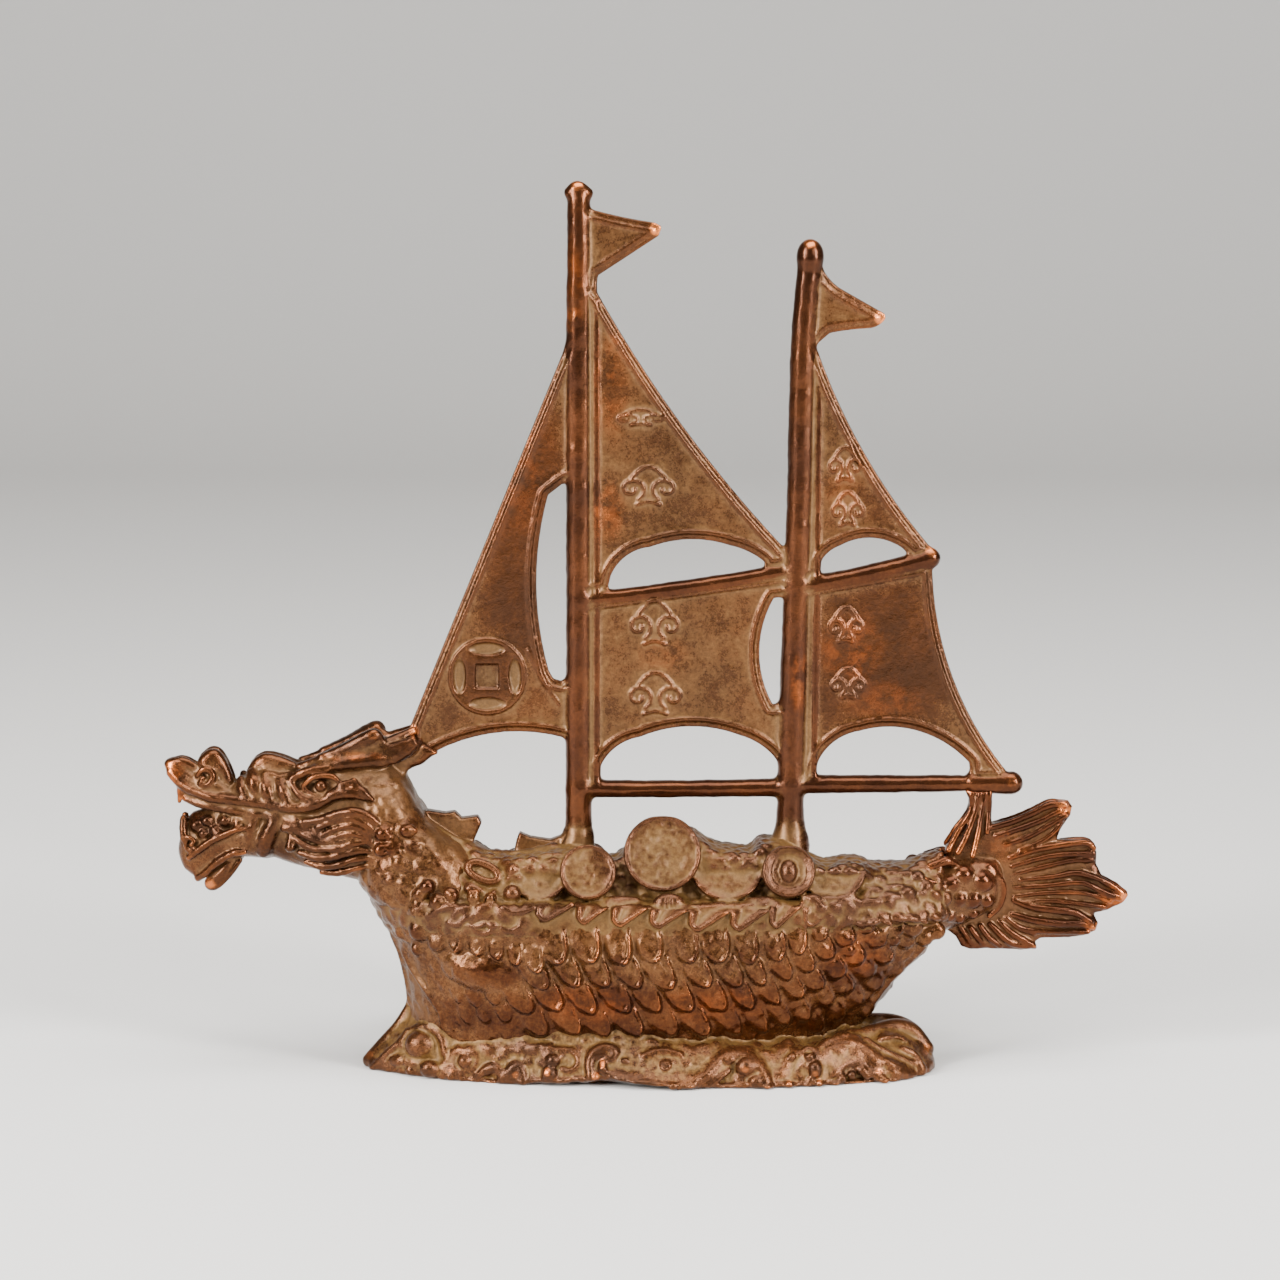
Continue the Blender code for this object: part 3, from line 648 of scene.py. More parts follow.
def mixed(tree, factor, first, second):
    """Two colours mixed."""
    inputs = {0: factor, 6: first, 7: second}
    return add_node(tree, "ShaderNodeMix", inputs, data_type="RGBA").outputs[2]


def noise(tree, coordinates, scale, detail, roughness):
    """Soft noise with about scale swells to the metre."""
    inputs = {"Vector": coordinates, "Scale": scale, "Detail": detail, "Roughness": roughness}
    return add_node(tree, "ShaderNodeTexNoise", inputs).outputs["Fac"]


# A bronze finish: its colours, how much dust it holds, how far its edges are rubbed, the dust on bare faces
# and in hollows, how mottled and how rough to the touch it is, how metallic, and how dull under the dust.
Finish = namedtuple("Finish", "dark warm dust dusty rubbed film hollows mottled tooth metal dull")
FINISHES = {
    "bronze_base": Finish((0.060, 0.022, 0.008), (0.11, 0.038, 0.012), (0.142, 0.072, 0.018),
                          0.85, 0.22, 0.04, 0.9, 0.8, 0.45, 0.70, 0.19),
    "bronze_hull": Finish((0.046, 0.013, 0.004), (0.10, 0.029, 0.007), (0.135, 0.064, 0.021),
                          0.60, 0.34, 0.12, 0.15, 0.6, 0.25, 0.80, 0.13),
    "bronze_head": Finish((0.044, 0.016, 0.006), (0.09, 0.029, 0.009), (0.125, 0.062, 0.021),
                          0.55, 0.25, 0.08, 0.5, 0.5, 0.25, 0.80, 0.17),
    "bronze_sail": Finish((0.058, 0.021, 0.007), (0.10, 0.032, 0.009), (0.140, 0.072, 0.023),
                          0.75, 0.35, 0.12, 0.5, 0.5, 0.30, 0.70, 0.17),
    "bronze_mast": Finish((0.046, 0.015, 0.006), (0.09, 0.028, 0.009), (0.130, 0.066, 0.020),
                          0.70, 0.30, 0.04, 1.0, 0.4, 0.15, 0.80, 0.15),
    "bronze_deck": Finish((0.058, 0.021, 0.008), (0.10, 0.034, 0.011), (0.122, 0.061, 0.015),
                          0.85, 0.22, 0.08, 0.7, 0.4, 0.35, 0.70, 0.20),
    "bronze_tail": Finish((0.042, 0.013, 0.005), (0.09, 0.026, 0.008), (0.120, 0.058, 0.020),
                          0.50, 0.28, 0.08, 0.5, 0.4, 0.20, 0.80, 0.12),
}
COPPER = (0.72, 0.21, 0.06)
RUST = (0.26, 0.062, 0.012)


def scaled(tree, value, factor):
    """A value times a factor."""
    return math_node(tree, "MULTIPLY", value, factor)


def summed(tree, *values):
    """The sum of several values."""
    total = values[0]
    for value in values[1:]:
        total = math_node(tree, "ADD", total, value)
    return total


# Patterns of the bronze: swells to the metre, detail and roughness.
NOISES = {
    "patches": (90.0, 3.0, 0.55),
    "blotches": (420.0, 5.0, 0.65),
    "speckle": (2200.0, 4.0, 0.7),
    "grain": (4800.0, 3.0, 0.7),
}

# What makes dust, besides hollows of two widths: local tones, which add to it or take from it; and what makes
# the pits of the skin.
HOLLOW_SHARES = {"fine": 2.4, "wide": 1.9}
DUST_SHARES = {"darkened": -0.30, "rusty": -0.12, "dusted": 0.30}
PIT_SHARES = {"grain": 0.6, "speckle": 1.3, "blotches": 1.2}
PIT_DEPTH = 0.00010
SPECULAR = 0.35


def weighed(tree, values, shares):
    """Values by name, each times its share."""
    return [scaled(tree, values[label], share) for label, share in shares.items()]


def bronze(name):
    """Patinated bronze: dark brown, darker in marked spots, dusty in the hollows and rubbed to copper on
    sharp edges; narrow hollows and some marked spots are darkened as painted shade.
    """
    finish = FINISHES[name]
    material = bpy.data.materials.new(name)
    material.use_nodes = True
    tree = material.node_tree
    shader = tree.nodes["Principled BSDF"]
    where = tree.nodes.new("ShaderNodeTexCoord").outputs["Object"]
    measures = {}
    for label in ("fine", "wide", *TONES):
        measures[label] = add_node(tree, "ShaderNodeAttribute", attribute_name=label).outputs["Fac"]
    noises = {label: noise(tree, where, *row) for label, row in NOISES.items()}
    patches, blotches, speckle, grain = noises.values()
    darkened = measures["darkened"]

    mottle = summed(tree, scaled(tree, blotches, 0.7), scaled(tree, speckle, 0.5), -0.60)
    warmth = summed(tree, scaled(tree, patches, 0.9), scaled(tree, mottle, finish.mottled))
    skin = mixed(tree, mapped(tree, warmth, 0.30, 0.64), (*finish.dark, 1.0), (*finish.warm, 1.0))
    rust = scaled(tree, measures["rusty"], mapped(tree, blotches, 0.40, 0.66))
    skin = mixed(tree, rust, skin, (*RUST, 1.0))

    hollow = summed(tree, *weighed(tree, measures, HOLLOW_SHARES))
    settled = summed(tree, scaled(tree, hollow, finish.hollows), scaled(tree, mottle, 1.5 * finish.mottled),
                     scaled(tree, patches, 0.3), *weighed(tree, measures, DUST_SHARES), finish.film - 0.15)
    settled = scaled(tree, mapped(tree, settled, -0.14, 0.36), finish.dusty)
    dusty = mixed(tree, settled, skin, (*finish.dust, 1.0))

    darkest, lightest = 1.0 - 0.36 * finish.mottled, 1.0 + 0.4 * finish.mottled
    shade = mapped(tree, summed(tree, speckle, grain), 0.80, 1.22, darkest, lightest)
    # Darker at the marked spots: darker patina on some, painted shade on the others.
    shade = scaled(tree, shade, mapped(tree, darkened, 0.0, 1.2, 1.0, 0.62))
    # Painted shade: the colour darkens in narrow hollows, where shade falls.
    shade = scaled(tree, shade, mapped(tree, measures["fine"], 0.06, 0.26, 1.0, 0.82))
    shaded = add_node(tree, "ShaderNodeVectorMath", {0: dusty, 1: shade}, operation="MULTIPLY")

    crest = summed(tree, scaled(tree, measures["fine"], -1.0), scaled(tree, patches, 0.35), -0.19)
    worn = mapped(tree, crest, 0.17, 0.30, 0.0, finish.rubbed)
    worn = scaled(tree, worn, mapped(tree, darkened, 0.80, 1.05, 1.0, 0.35))
    rubbing = mapped(tree, summed(tree, measures["rubbed"], scaled(tree, blotches, 0.9)), 0.75, 1.15)
    worn = math_node(tree, "MAXIMUM", worn, scaled(tree, rubbing, measures["rubbed"]))
    colour = mixed(tree, worn, shaded.outputs[0], (*COPPER, 1.0))
    tree.links.new(colour, shader.inputs["Base Color"])

    metal = summed(tree, finish.metal, scaled(tree, settled, -0.36), scaled(tree, worn, 0.2))
    tree.links.new(math_node(tree, "MINIMUM", metal, 1.0), shader.inputs["Metallic"])
    rough = summed(tree, finish.dull, scaled(tree, settled, 0.26), scaled(tree, grain, 0.12))
    tree.links.new(rough, shader.inputs["Roughness"])
    shader.inputs["Specular IOR Level"].default_value = SPECULAR

    pits = summed(tree, *weighed(tree, noises, PIT_SHARES))
    inputs = {"Strength": finish.tooth, "Distance": PIT_DEPTH, "Height": pits}
    relief = add_node(tree, "ShaderNodeBump", inputs)
    tree.links.new(relief.outputs["Normal"], shader.inputs["Normal"])
    return material


MATERIALS = {name: bronze(name) for name in FINISHES}

# Rig

FORE_MAST = ((-9.3, 29.0, 2.6), (-9.0, 31.0, 2.1), (-8.95, 34.0, 1.75), (-8.9, 60.0, 1.65),
             (-8.9, 95.0, 1.55), (-8.8, 114.2, 1.45))
MAIN_MAST = ((18.8, 29.8, 2.6), (18.8, 32.0, 2.0), (18.8, 35.0, 1.8), (19.0, 49.0, 1.75), (19.6, 70.0, 1.65),
             (20.1, 95.0, 1.6), (20.9, 106.0, 1.5))

# Sheets: the outline of each sail and pennant, reaching to the middle of the mast and yards that hold it.
SHEETS = {
    "fore_pennant": ((-8.8, 100.5), (-6.5, 102.6), (-6.3, 104.3), (1.5, 109.4), (1.9, 110.6), (1.0, 111.1),
                     (-8.8, 113.3, -0.2)),
    "fore_topsail": ((-8.9, 62.8), (-5.1, 63.6), (-4.7, 65.3), (0.4, 69.1, -0.9), (10.8, 69.3, -0.9),
                     (15.2, 67.2, -0.3), (15.4, 66.2), (18.4, 66.6), (18.4, 68.4), (17.6, 69.2),
                     (-6.9, 103.0, -1.3), (-8.9, 103.5)),
    "fore_course": ((-8.9, 37.4), (-6.1, 37.4), (-6.0, 40.3), (-0.9, 44.1, -0.8), (12.2, 44.3, -1.3),
                    (16.7, 41.4, -0.4), (19.0, 39.5), (19.2, 48.9), (16.4, 48.4), (16.5, 62.4, -1.8),
                    (19.4, 62.8), (19.4, 66.0), (-8.9, 62.0)),
    "jib": ((-31.0, 40.0), (-8.9, 43.4, -2.9), (-8.9, 53.2), (-10.1, 51.9), (-11.2, 51.5), (-12.2, 51.8),
            (-12.8, 52.9), (-12.8, 75.9, -1.55), (-11.0, 77.3),
            (-8.9, 78.6), (-8.9, 98.5), (-10.6, 95.0), (-31.0, 45.3)),
    "main_pennant": ((20.3, 94.0), (22.3, 95.8), (23.6, 96.9), (28.7, 97.5, -0.1), (30.8, 98.9, 0.3),
                     (30.6, 99.4),
                     (24.8, 102.7), (22.6, 105.2, -0.2), (20.7, 105.4)),
    "main_topsail": ((19.6, 64.4), (22.4, 65.6), (22.6, 67.2), (25.1, 69.3, -0.3), (32.2, 69.5, -0.9),
                     (33.6, 68.5, -0.1), (34.5, 67.6), (37.3, 68.6), (36.6, 69.3), (22.1, 94.4, -1.3),
                     (20.2, 97.0)),
    "main_course": ((19.0, 38.0), (21.9, 38.0), (22.2, 40.4), (27.8, 44.9, -1.0), (35.0, 45.0, -0.5),
                    (42.1, 40.7, -0.6), (42.3, 38.5), (46.8, 38.5), (46.8, 39.8), (37.1, 65.6, -2.2),
                    (36.8, 67.0), (19.4, 63.8)),
}

# Spars: points of (x, z, radius) along each gaff and boom.
SPARS = {
    "fore_gaff": ((-8.9, 62.0, 1.0), (4.0, 63.6, 1.0), (18.0, 65.9, 0.95)),
    "main_gaff": ((19.6, 63.9, 1.15), (27.0, 65.2, 1.15), (36.9, 67.6, 1.25)),
    "fore_boom": ((-8.9, 37.3, 1.25), (-4.0, 37.2, 1.15), (10.0, 37.25, 1.15), (18.9, 37.4, 1.25)),
    "main_boom": ((18.9, 37.8, 1.25), (41.0, 37.9, 1.1)),
}
BOOM_END = ((42.6, 37.95, 1.35), (47.7, 37.95, 1.5))
SPAR_FLAT = 1.1

# Cords on the masts where the sails begin, and the fore mast's cap: rows of (x, y, z, radius).
MAST_CORDS = {
    "fore_mast": ((-6.6, 0.65, 38.0, 0.28), (-6.5, 0.6, 70.0, 0.28), (-6.5, 0.55, 101.0, 0.25)),
    "main_mast": ((21.8, 0.65, 39.0, 0.26), (22.1, 0.6, 66.0, 0.26), (22.2, 0.5, 90.0, 0.22)),
}
FORE_CAP = ((-9.9, 0.0, 115.0, 0.75), (-8.9, 0.0, 115.5, 0.95), (-7.6, 0.0, 114.9, 0.7))
MAIN_CAP = ((21.0, 0.0, 106.9), (1.75, 1.7, 2.1))

# Half thickness of a sheet and of its edge, the hem round it and the pennants' share of that hem.
SHEET_HALF = 0.62
EDGE_HALF = 0.42
HEM_HEIGHT = 0.36
PENNANT_SHARE = 0.55
HEM_PLACE = 1.05
HEM_HALF = 0.55
CLOUD_HEIGHT = 0.36

# Unevenness of a sheet: height, length and seed of its swells.
SHEET_RIPPLES = ((0.05, 9.0, 3), (0.03, 2.2, 5), (0.02, 1.0, 6))

# The coin on the jib.
COIN_CENTRE = (-20.8, 52.2)
COIN_RADIUS = 5.15
# The coin's square hole, and the lens-shaped recesses round it: half sizes, place and depth.
COIN_HOLE = (1.5, 1.55)
COIN_LENS = (2.35, 0.85)
COIN_LENS_AT = 3.6
COIN_DEPTH = 0.5
# A ridge on the jib, beside its coin.
JIB_RIDGE = ((-15.4, 55.6), (-13.9, 51.9), (-11.4, 48.4))

# Places of the small cloud scrolls on the sails: columns are sail, x, z, half width and half height.
CLOUDS = (
    ("fore_topsail", -0.8, 86.0, 3.7, 1.0),
    ("fore_topsail", 0.2, 77.1, 4.2, 2.5),
    ("fore_course", 1.0, 59.2, 3.9, 2.9),
    ("fore_course", 1.1, 49.9, 4.2, 2.8),
    ("main_topsail", 25.6, 79.9, 2.5, 2.2),
    ("main_topsail", 26.0, 74.1, 2.5, 2.2),
    ("main_course", 25.9, 58.9, 2.7, 2.3),
    ("main_course", 26.2, 51.2, 2.7, 2.0),
)


def line_distance(points, x, z):
    """Distance in the side view to an open line through points."""
    best = None
    for (ax, az), (bx, bz) in zip(points, points[1:]):
        dx, dz = bx - ax, bz - az
        length = dx * dx + dz * dz + NEAR_ZERO
        along = np.clip(((x - ax) * dx + (z - az) * dz) / length, 0.0, 1.0)
        away = np.hypot(x - ax - along * dx, z - az - along * dz)
        best = away if best is None else np.minimum(best, away)
    return best


def scroll_lines(x, z, half_width, half_height):
    """A plain cloud scroll: two curls that face each other under an arch, and a short tail."""
    curl = []
    for step in range(15):
        angle = math.radians(-60 + 30 * step)
        radius = 1.0 - 0.055 * step
        curl.append((0.52 - 0.44 * radius * math.cos(angle), -0.15 + 0.62 * radius * math.sin(angle)))
    arch = spline([(-0.5, 0.45), (-0.25, 0.85), (0.0, 1.0), (0.25, 0.85), (0.5, 0.45)], 4)
    tail = spline([(-0.35, -0.95), (0.0, -0.8), (0.35, -0.95)], 4)
    lines = ((-half_width, curl), (half_width, curl), (half_width, arch), (half_width, tail))
    return [[(x + width * a, z + b * half_height) for a, b in line] for width, line in lines]


def sheet_half(name, edge, x, z):
    """Half thickness of a sheet: thin at its edge, a rolled hem beside it, and a slightly uneven face."""
    within = -edge
    half = EDGE_HALF + (SHEET_HALF - EDGE_HALF) * smooth_step(within, 0.2, HEM_PLACE)
    strength = PENNANT_SHARE if name.endswith("pennant") else 1.0
    half = half + strength * HEM_HEIGHT * bump(within, HEM_PLACE, HEM_HALF)
    half = half + 0.16 * bump(within, 0.15, 0.28)
    for height, length, seed in SHEET_RIPPLES:
        half = half + height * ripple(x, z, length, seed)
    for sail, *cloud in CLOUDS:
        if sail == name:
            for line in scroll_lines(*cloud):
                half = half + CLOUD_HEIGHT * bump(line_distance(line, x, z), 0.0, 0.46)
    if name == "jib":
        px, pz = np.abs(x - COIN_CENTRE[0]), np.abs(z - COIN_CENTRE[1])
        radius = np.hypot(px, pz)
        half = half + 0.3 * (1.0 - smooth_step(radius, COIN_RADIUS - 0.2, COIN_RADIUS + 0.1))
        half = half + 0.07 * bump(radius, COIN_RADIUS - 0.3, 0.3)
        half = half + 0.25 * bump(line_distance(JIB_RIDGE, x, z), 0.0, 0.5)
        square = np.maximum(px - COIN_HOLE[0], pz - COIN_HOLE[1])
        half = half - COIN_DEPTH * (1.0 - smooth_step(square, -0.15, 0.2))
        for across, up in ((px, pz), (pz, px)):
            lens = np.hypot(across / COIN_LENS[0], (up - COIN_LENS_AT) / COIN_LENS[1]) - 1.0
            half = half - COIN_DEPTH * (1.0 - smooth_step(lens, -0.3, 0.1))
    return half


def in_middle(rows):
    """Rows of (x, z, radius) laid in the middle plane."""
    return [(x, 0.0, z, radius) for x, z, radius in rows]


def add_masts(field):
    """Both masts, for the rig and for what they stand in."""
    field.add("fore_mast", stroke(in_middle(FORE_MAST)), 0.0)
    field.add("main_mast", stroke(in_middle(MAIN_MAST)), 0.0)


def make_rig():
    """Masts, spars, sails and pennants."""
    field = Field(*REGIONS["rig"])
    x, z = field.x[:, None], field.z[None, :]
    y = field.y[None, :, None]
    for name, corners in SHEETS.items():
        edge = outline_distance(spread_outline(corners), x, z)
        half = sheet_half(name, edge, x, z)
        sheet = smooth_max(y - half[:, None, :], edge[:, None, :], 0.25)
        field.parts[name] = sheet.astype(np.float32)
    for name, rows in SPARS.items():
        field.add(name, stroke(in_middle(rows), SPAR_FLAT), 0.0)
    field.add("main_boom", stroke(in_middle(BOOM_END)), 0.35)
    add_masts(field)
    add_heap(field, FAR_CROWN)
    for name, rows in MAST_CORDS.items():
        field.add(name, stroke(rows), 0.5)
    field.add("fore_mast_cap", stroke(FORE_CAP), 0.3)
    field.add("main_mast_cap", blob(*MAIN_CAP), 0.3)
    masts = ("fore_mast", "main_mast")
    field.roughen((*masts, *SPARS), (0.07, 5.0, 7), (0.05, 1.6, 8), 1.0)
    field.fuse(0.7)
    cast(field, "bronze_sail", SHEETS)
    spars = ("fore_gaff", "main_gaff", "fore_boom", "main_boom", *masts, "fore_mast_cap", "main_mast_cap")
    cast(field, "bronze_mast", spars, share=0.3)


# Head

SKULL = ((-62.6, 39.4, 40.9, 0.9), (-61.1, 36.8, 41.0, 1.6), (-59.1, 35.7, 39.9, 2.3),
         (-56.5, 34.9, 39.9, 2.9), (-54.3, 34.6, 38.2, 3.1), (-52.0, 34.2, 39.2, 3.4),
         (-50.0, 34.0, 40.2, 3.7), (-47.4, 33.6, 40.2, 4.2), (-45.7, 30.9, 39.9, 4.6),
         (-42.9, 26.6, 40.9, 5.0), (-39.6, 25.8, 41.6, 5.4), (-36.1, 24.9, 41.8, 5.6),
         (-33.6, 26.0, 41.2, 4.9), (-31.8, 27.4, 39.6, 3.9), (-30.4, 29.4, 37.6, 2.6))
JAW = ((-61.4, 28.1, 30.1, 0.9), (-60.6, 26.6, 33.2, 1.6), (-59.3, 25.6, 32.6, 2.1),
       (-57.6, 26.4, 32.9, 2.6), (-55.3, 27.7, 33.2, 3.1), (-52.7, 28.4, 33.6, 3.6),
       (-48.8, 28.0, 34.0, 4.2))
NECK = ((23.3, -36.2, -20.3, 9.0), (25.4, -37.7, -20.6, 8.8), (29.0, -37.7, -21.9, 8.0),
        (33.4, -37.7, -28.4, 6.8), (36.0, -37.7, -30.0, 6.0), (38.6, -37.7, -31.6, 4.6),
        (39.6, -37.2, -32.4, 2.8))

THROAT = ((-50.6, 29.0, 33.0, 2.0), (-49.6, 28.4, 34.0, 3.2), (-48.0, 28.0, 35.0, 3.9),
          (-46.0, 27.3, 35.5, 4.4), (-43.5, 26.7, 35.5, 4.9), (-41.0, 26.2, 35.5, 5.2),
          (-37.0, 25.2, 34.0, 5.4))
TONGUE = ((-60.4, 30.6, 33.4, 1.1), (-59.4, 30.8, 34.2, 1.6), (-57.7, 31.0, 34.6, 2.0),
          (-56.6, 30.8, 35.4, 2.3), (-55.3, 30.5, 35.9, 2.6), (-53.0, 30.0, 35.9, 3.0),
          (-50.0, 29.5, 35.8, 3.5), (-47.5, 29.5, 35.5, 3.9))
MANE_BED = ((-45.6, 27.8, 33.2, 4.6), (-43.5, 27.0, 34.0, 5.3), (-41.0, 26.8, 34.8, 5.9),
            (-38.5, 27.0, 35.4, 6.3), (-36.4, 27.6, 34.8, 6.3), (-34.8, 28.2, 33.2, 5.9))
# The web between the horn, the nape and the corner of the jib, in the side view.
NAPE_WEB = ((-37.5, 37.5), (-32.0, 37.5), (-31.6, 38.9), (-31.1, 39.8), (-29.0, 40.9), (-27.2, 42.1),
            (-29.0, 43.5), (-31.0, 43.2), (-35.5, 42.0))

# Broad blades of the horn and the ear, in the side view.
HORN_BLADE = ((-45.2, 39.8), (-42.2, 39.9), (-39.2, 40.2), (-36.0, 40.6), (-32.9, 41.2), (-30.7, 42.3),
              (-29.6, 43.6), (-30.3, 44.7), (-32.6, 43.9), (-35.6, 43.0), (-39.0, 42.3), (-42.4, 41.3))
EAR_BLADE = ((-42.5, 40.8), (-39.0, 41.8), (-35.4, 42.6), (-33.6, 43.2), (-34.4, 44.6), (-35.5, 45.3),
             (-37.5, 44.4), (-40.0, 43.2), (-42.6, 42.1))

# Cords of the face: rows of (x, y, z, radius), outwards from the middle plane.
LIPS = (
    ((-62.0, 0.8, 39.6, 0.8), (-60.5, 1.6, 38.1, 0.75), (-58.8, 2.3, 37.3, 0.7), (-56.9, 2.9, 36.6, 0.7),
     (-54.5, 3.2, 36.4, 0.7), (-51.9, 3.5, 36.2, 0.75), (-49.3, 3.9, 35.9, 0.75), (-46.6, 4.5, 35.6, 0.8),
     (-44.3, 4.9, 35.7, 0.8), (-42.4, 5.2, 36.3, 0.75), (-40.6, 5.4, 37.1, 0.6), (-38.8, 5.6, 37.4, 0.5),
     (-36.7, 5.8, 37.0, 0.4)),
    ((-60.2, 1.2, 36.1, 0.5), (-57.6, 2.3, 35.5, 0.6), (-54.6, 2.9, 35.0, 0.65), (-51.4, 3.3, 34.7, 0.65),
     (-48.4, 3.8, 34.4, 0.65), (-45.6, 4.4, 34.0, 0.6)),
)
SNOUT = (
    ((-62.3, 0.3, 40.5, 0.75), (-60.7, 0.6, 40.9, 0.7), (-59.1, 0.8, 40.2, 0.6), (-57.9, 1.2, 39.6, 0.6)),
    ((-60.9, 1.0, 37.2, 0.5), (-61.1, 1.0, 35.7, 0.3)),
)
NOSE = (
    ((-57.5, 1.2, 41.0, 1.1), (-56.5, 1.0, 41.6, 1.1), (-55.4, 1.2, 40.2, 0.9), (-54.7, 1.4, 38.6, 0.8)),
    ((-58.5, 2.2, 39.4, 0.35), (-57.9, 2.4, 40.1, 0.4), (-57.0, 2.5, 40.1, 0.4), (-56.5, 2.6, 39.2, 0.4),
     (-57.2, 2.7, 38.2, 0.4), (-58.1, 2.6, 38.3, 0.35), (-57.8, 2.6, 39.1, 0.3)),
)
FOLDS = (
    ((-52.9, 2.0, 38.8, 0.5), (-52.7, 3.0, 37.7, 0.7), (-52.3, 3.4, 36.9, 0.5)),
    ((-51.5, 2.0, 39.6, 0.7), (-51.1, 3.1, 38.6, 0.95), (-50.8, 3.6, 37.2, 0.6)),
    ((-49.7, 2.8, 38.9, 0.8), (-49.4, 3.6, 37.7, 1.0), (-49.0, 4.0, 36.6, 0.6)),
    ((-47.7, 3.4, 38.7, 0.6), (-47.3, 4.0, 37.5, 0.9), (-46.7, 4.5, 36.4, 0.6)),
)
CREST = (
    ((-51.6, 0.9, 39.7, 0.7), (-50.1, 0.9, 41.0, 1.0), (-48.4, 1.0, 40.9, 1.0), (-46.6, 1.2, 40.4, 0.8),
     (-45.2, 1.5, 40.1, 0.5)),
    ((-50.9, 2.2, 39.3, 0.35), (-49.3, 2.6, 39.6, 0.45), (-47.8, 2.9, 39.3, 0.45), (-46.4, 2.9, 39.7, 0.4)),
)
BROWS = (
    ((-46.9, 3.4, 38.8, 0.5), (-45.3, 3.9, 39.7, 0.65), (-43.5, 4.2, 40.4, 0.6), (-41.4, 4.3, 40.6, 0.5)),
    ((-46.2, 4.0, 38.7, 0.4), (-45.4, 4.6, 37.6, 0.5), (-44.4, 5.0, 36.8, 0.5), (-42.9, 5.2, 36.7, 0.4)),
)
EYE = (
    ((-44.6, 4.6, 38.4, 0.35), (-43.6, 4.9, 39.4, 0.4), (-42.3, 5.0, 39.8, 0.4), (-40.8, 5.1, 39.7, 0.4),
     (-39.8, 5.2, 38.9, 0.3)),
    ((-44.5, 4.7, 38.0, 0.3), (-43.2, 5.0, 37.3, 0.35), (-41.6, 5.1, 37.3, 0.35), (-40.2, 5.2, 38.2, 0.3)),
    ((-42.3, 4.8, 38.4, 0.85),),
)
CHEEK = (
    ((-39.8, 5.2, 38.4, 0.4), (-39.0, 5.3, 38.9, 0.4), (-38.2, 5.3, 38.5, 0.4), (-38.5, 5.4, 37.7, 0.35)),
    ((-38.0, 5.2, 39.3, 0.35), (-37.5, 5.4, 38.4, 0.4), (-36.7, 5.6, 37.9, 0.3)),
    ((-41.1, 5.4, 37.6, 0.3), (-39.1, 5.6, 38.0, 0.3), (-36.9, 5.8, 37.7, 0.3), (-35.6, 5.9, 36.8, 0.25)),
    ((-46.9, 4.5, 33.6, 0.4), (-45.3, 4.9, 33.8, 0.4), (-44.0, 5.0, 33.6, 0.3)),
    ((-47.2, 4.6, 32.7, 0.4), (-45.6, 5.0, 32.9, 0.45), (-43.8, 5.2, 33.0, 0.4), (-42.4, 5.4, 32.3, 0.5),
     (-41.1, 5.5, 32.4, 0.4)),
    ((-46.3, 4.7, 31.8, 0.3), (-46.4, 4.9, 30.4, 0.75)),
    ((-48.3, 3.6, 34.4, 0.8), (-48.8, 3.7, 32.8, 1.1), (-49.6, 3.5, 31.0, 1.2), (-50.0, 3.1, 29.4, 0.8)),
    ((-50.9, 3.3, 34.3, 0.6), (-51.5, 3.3, 32.5, 0.8), (-51.9, 3.1, 30.5, 0.6)),
)
HORN = (
    ((-44.3, 3.4, 40.0, 0.5), (-42.2, 3.6, 40.7, 0.75), (-39.2, 3.6, 41.2, 1.0), (-36.0, 3.3, 41.5, 1.05),
     (-32.9, 2.7, 41.9, 0.9), (-30.7, 2.0, 42.8, 0.75), (-29.6, 1.5, 43.8, 0.45)),
)
EAR = (
    ((-45.2, 2.4, 40.5, 0.6), (-42.5, 2.6, 41.3, 0.8), (-39.9, 2.8, 42.4, 0.9), (-37.6, 3.0, 43.6, 1.0),
     (-35.8, 3.2, 44.7, 0.95), (-35.2, 3.2, 44.9, 0.7)),
    ((-35.8, 2.6, 43.6, 0.9), (-34.1, 2.2, 43.4, 0.9), (-32.2, 1.7, 44.2, 0.8), (-30.5, 1.0, 45.0, 0.6)),
)
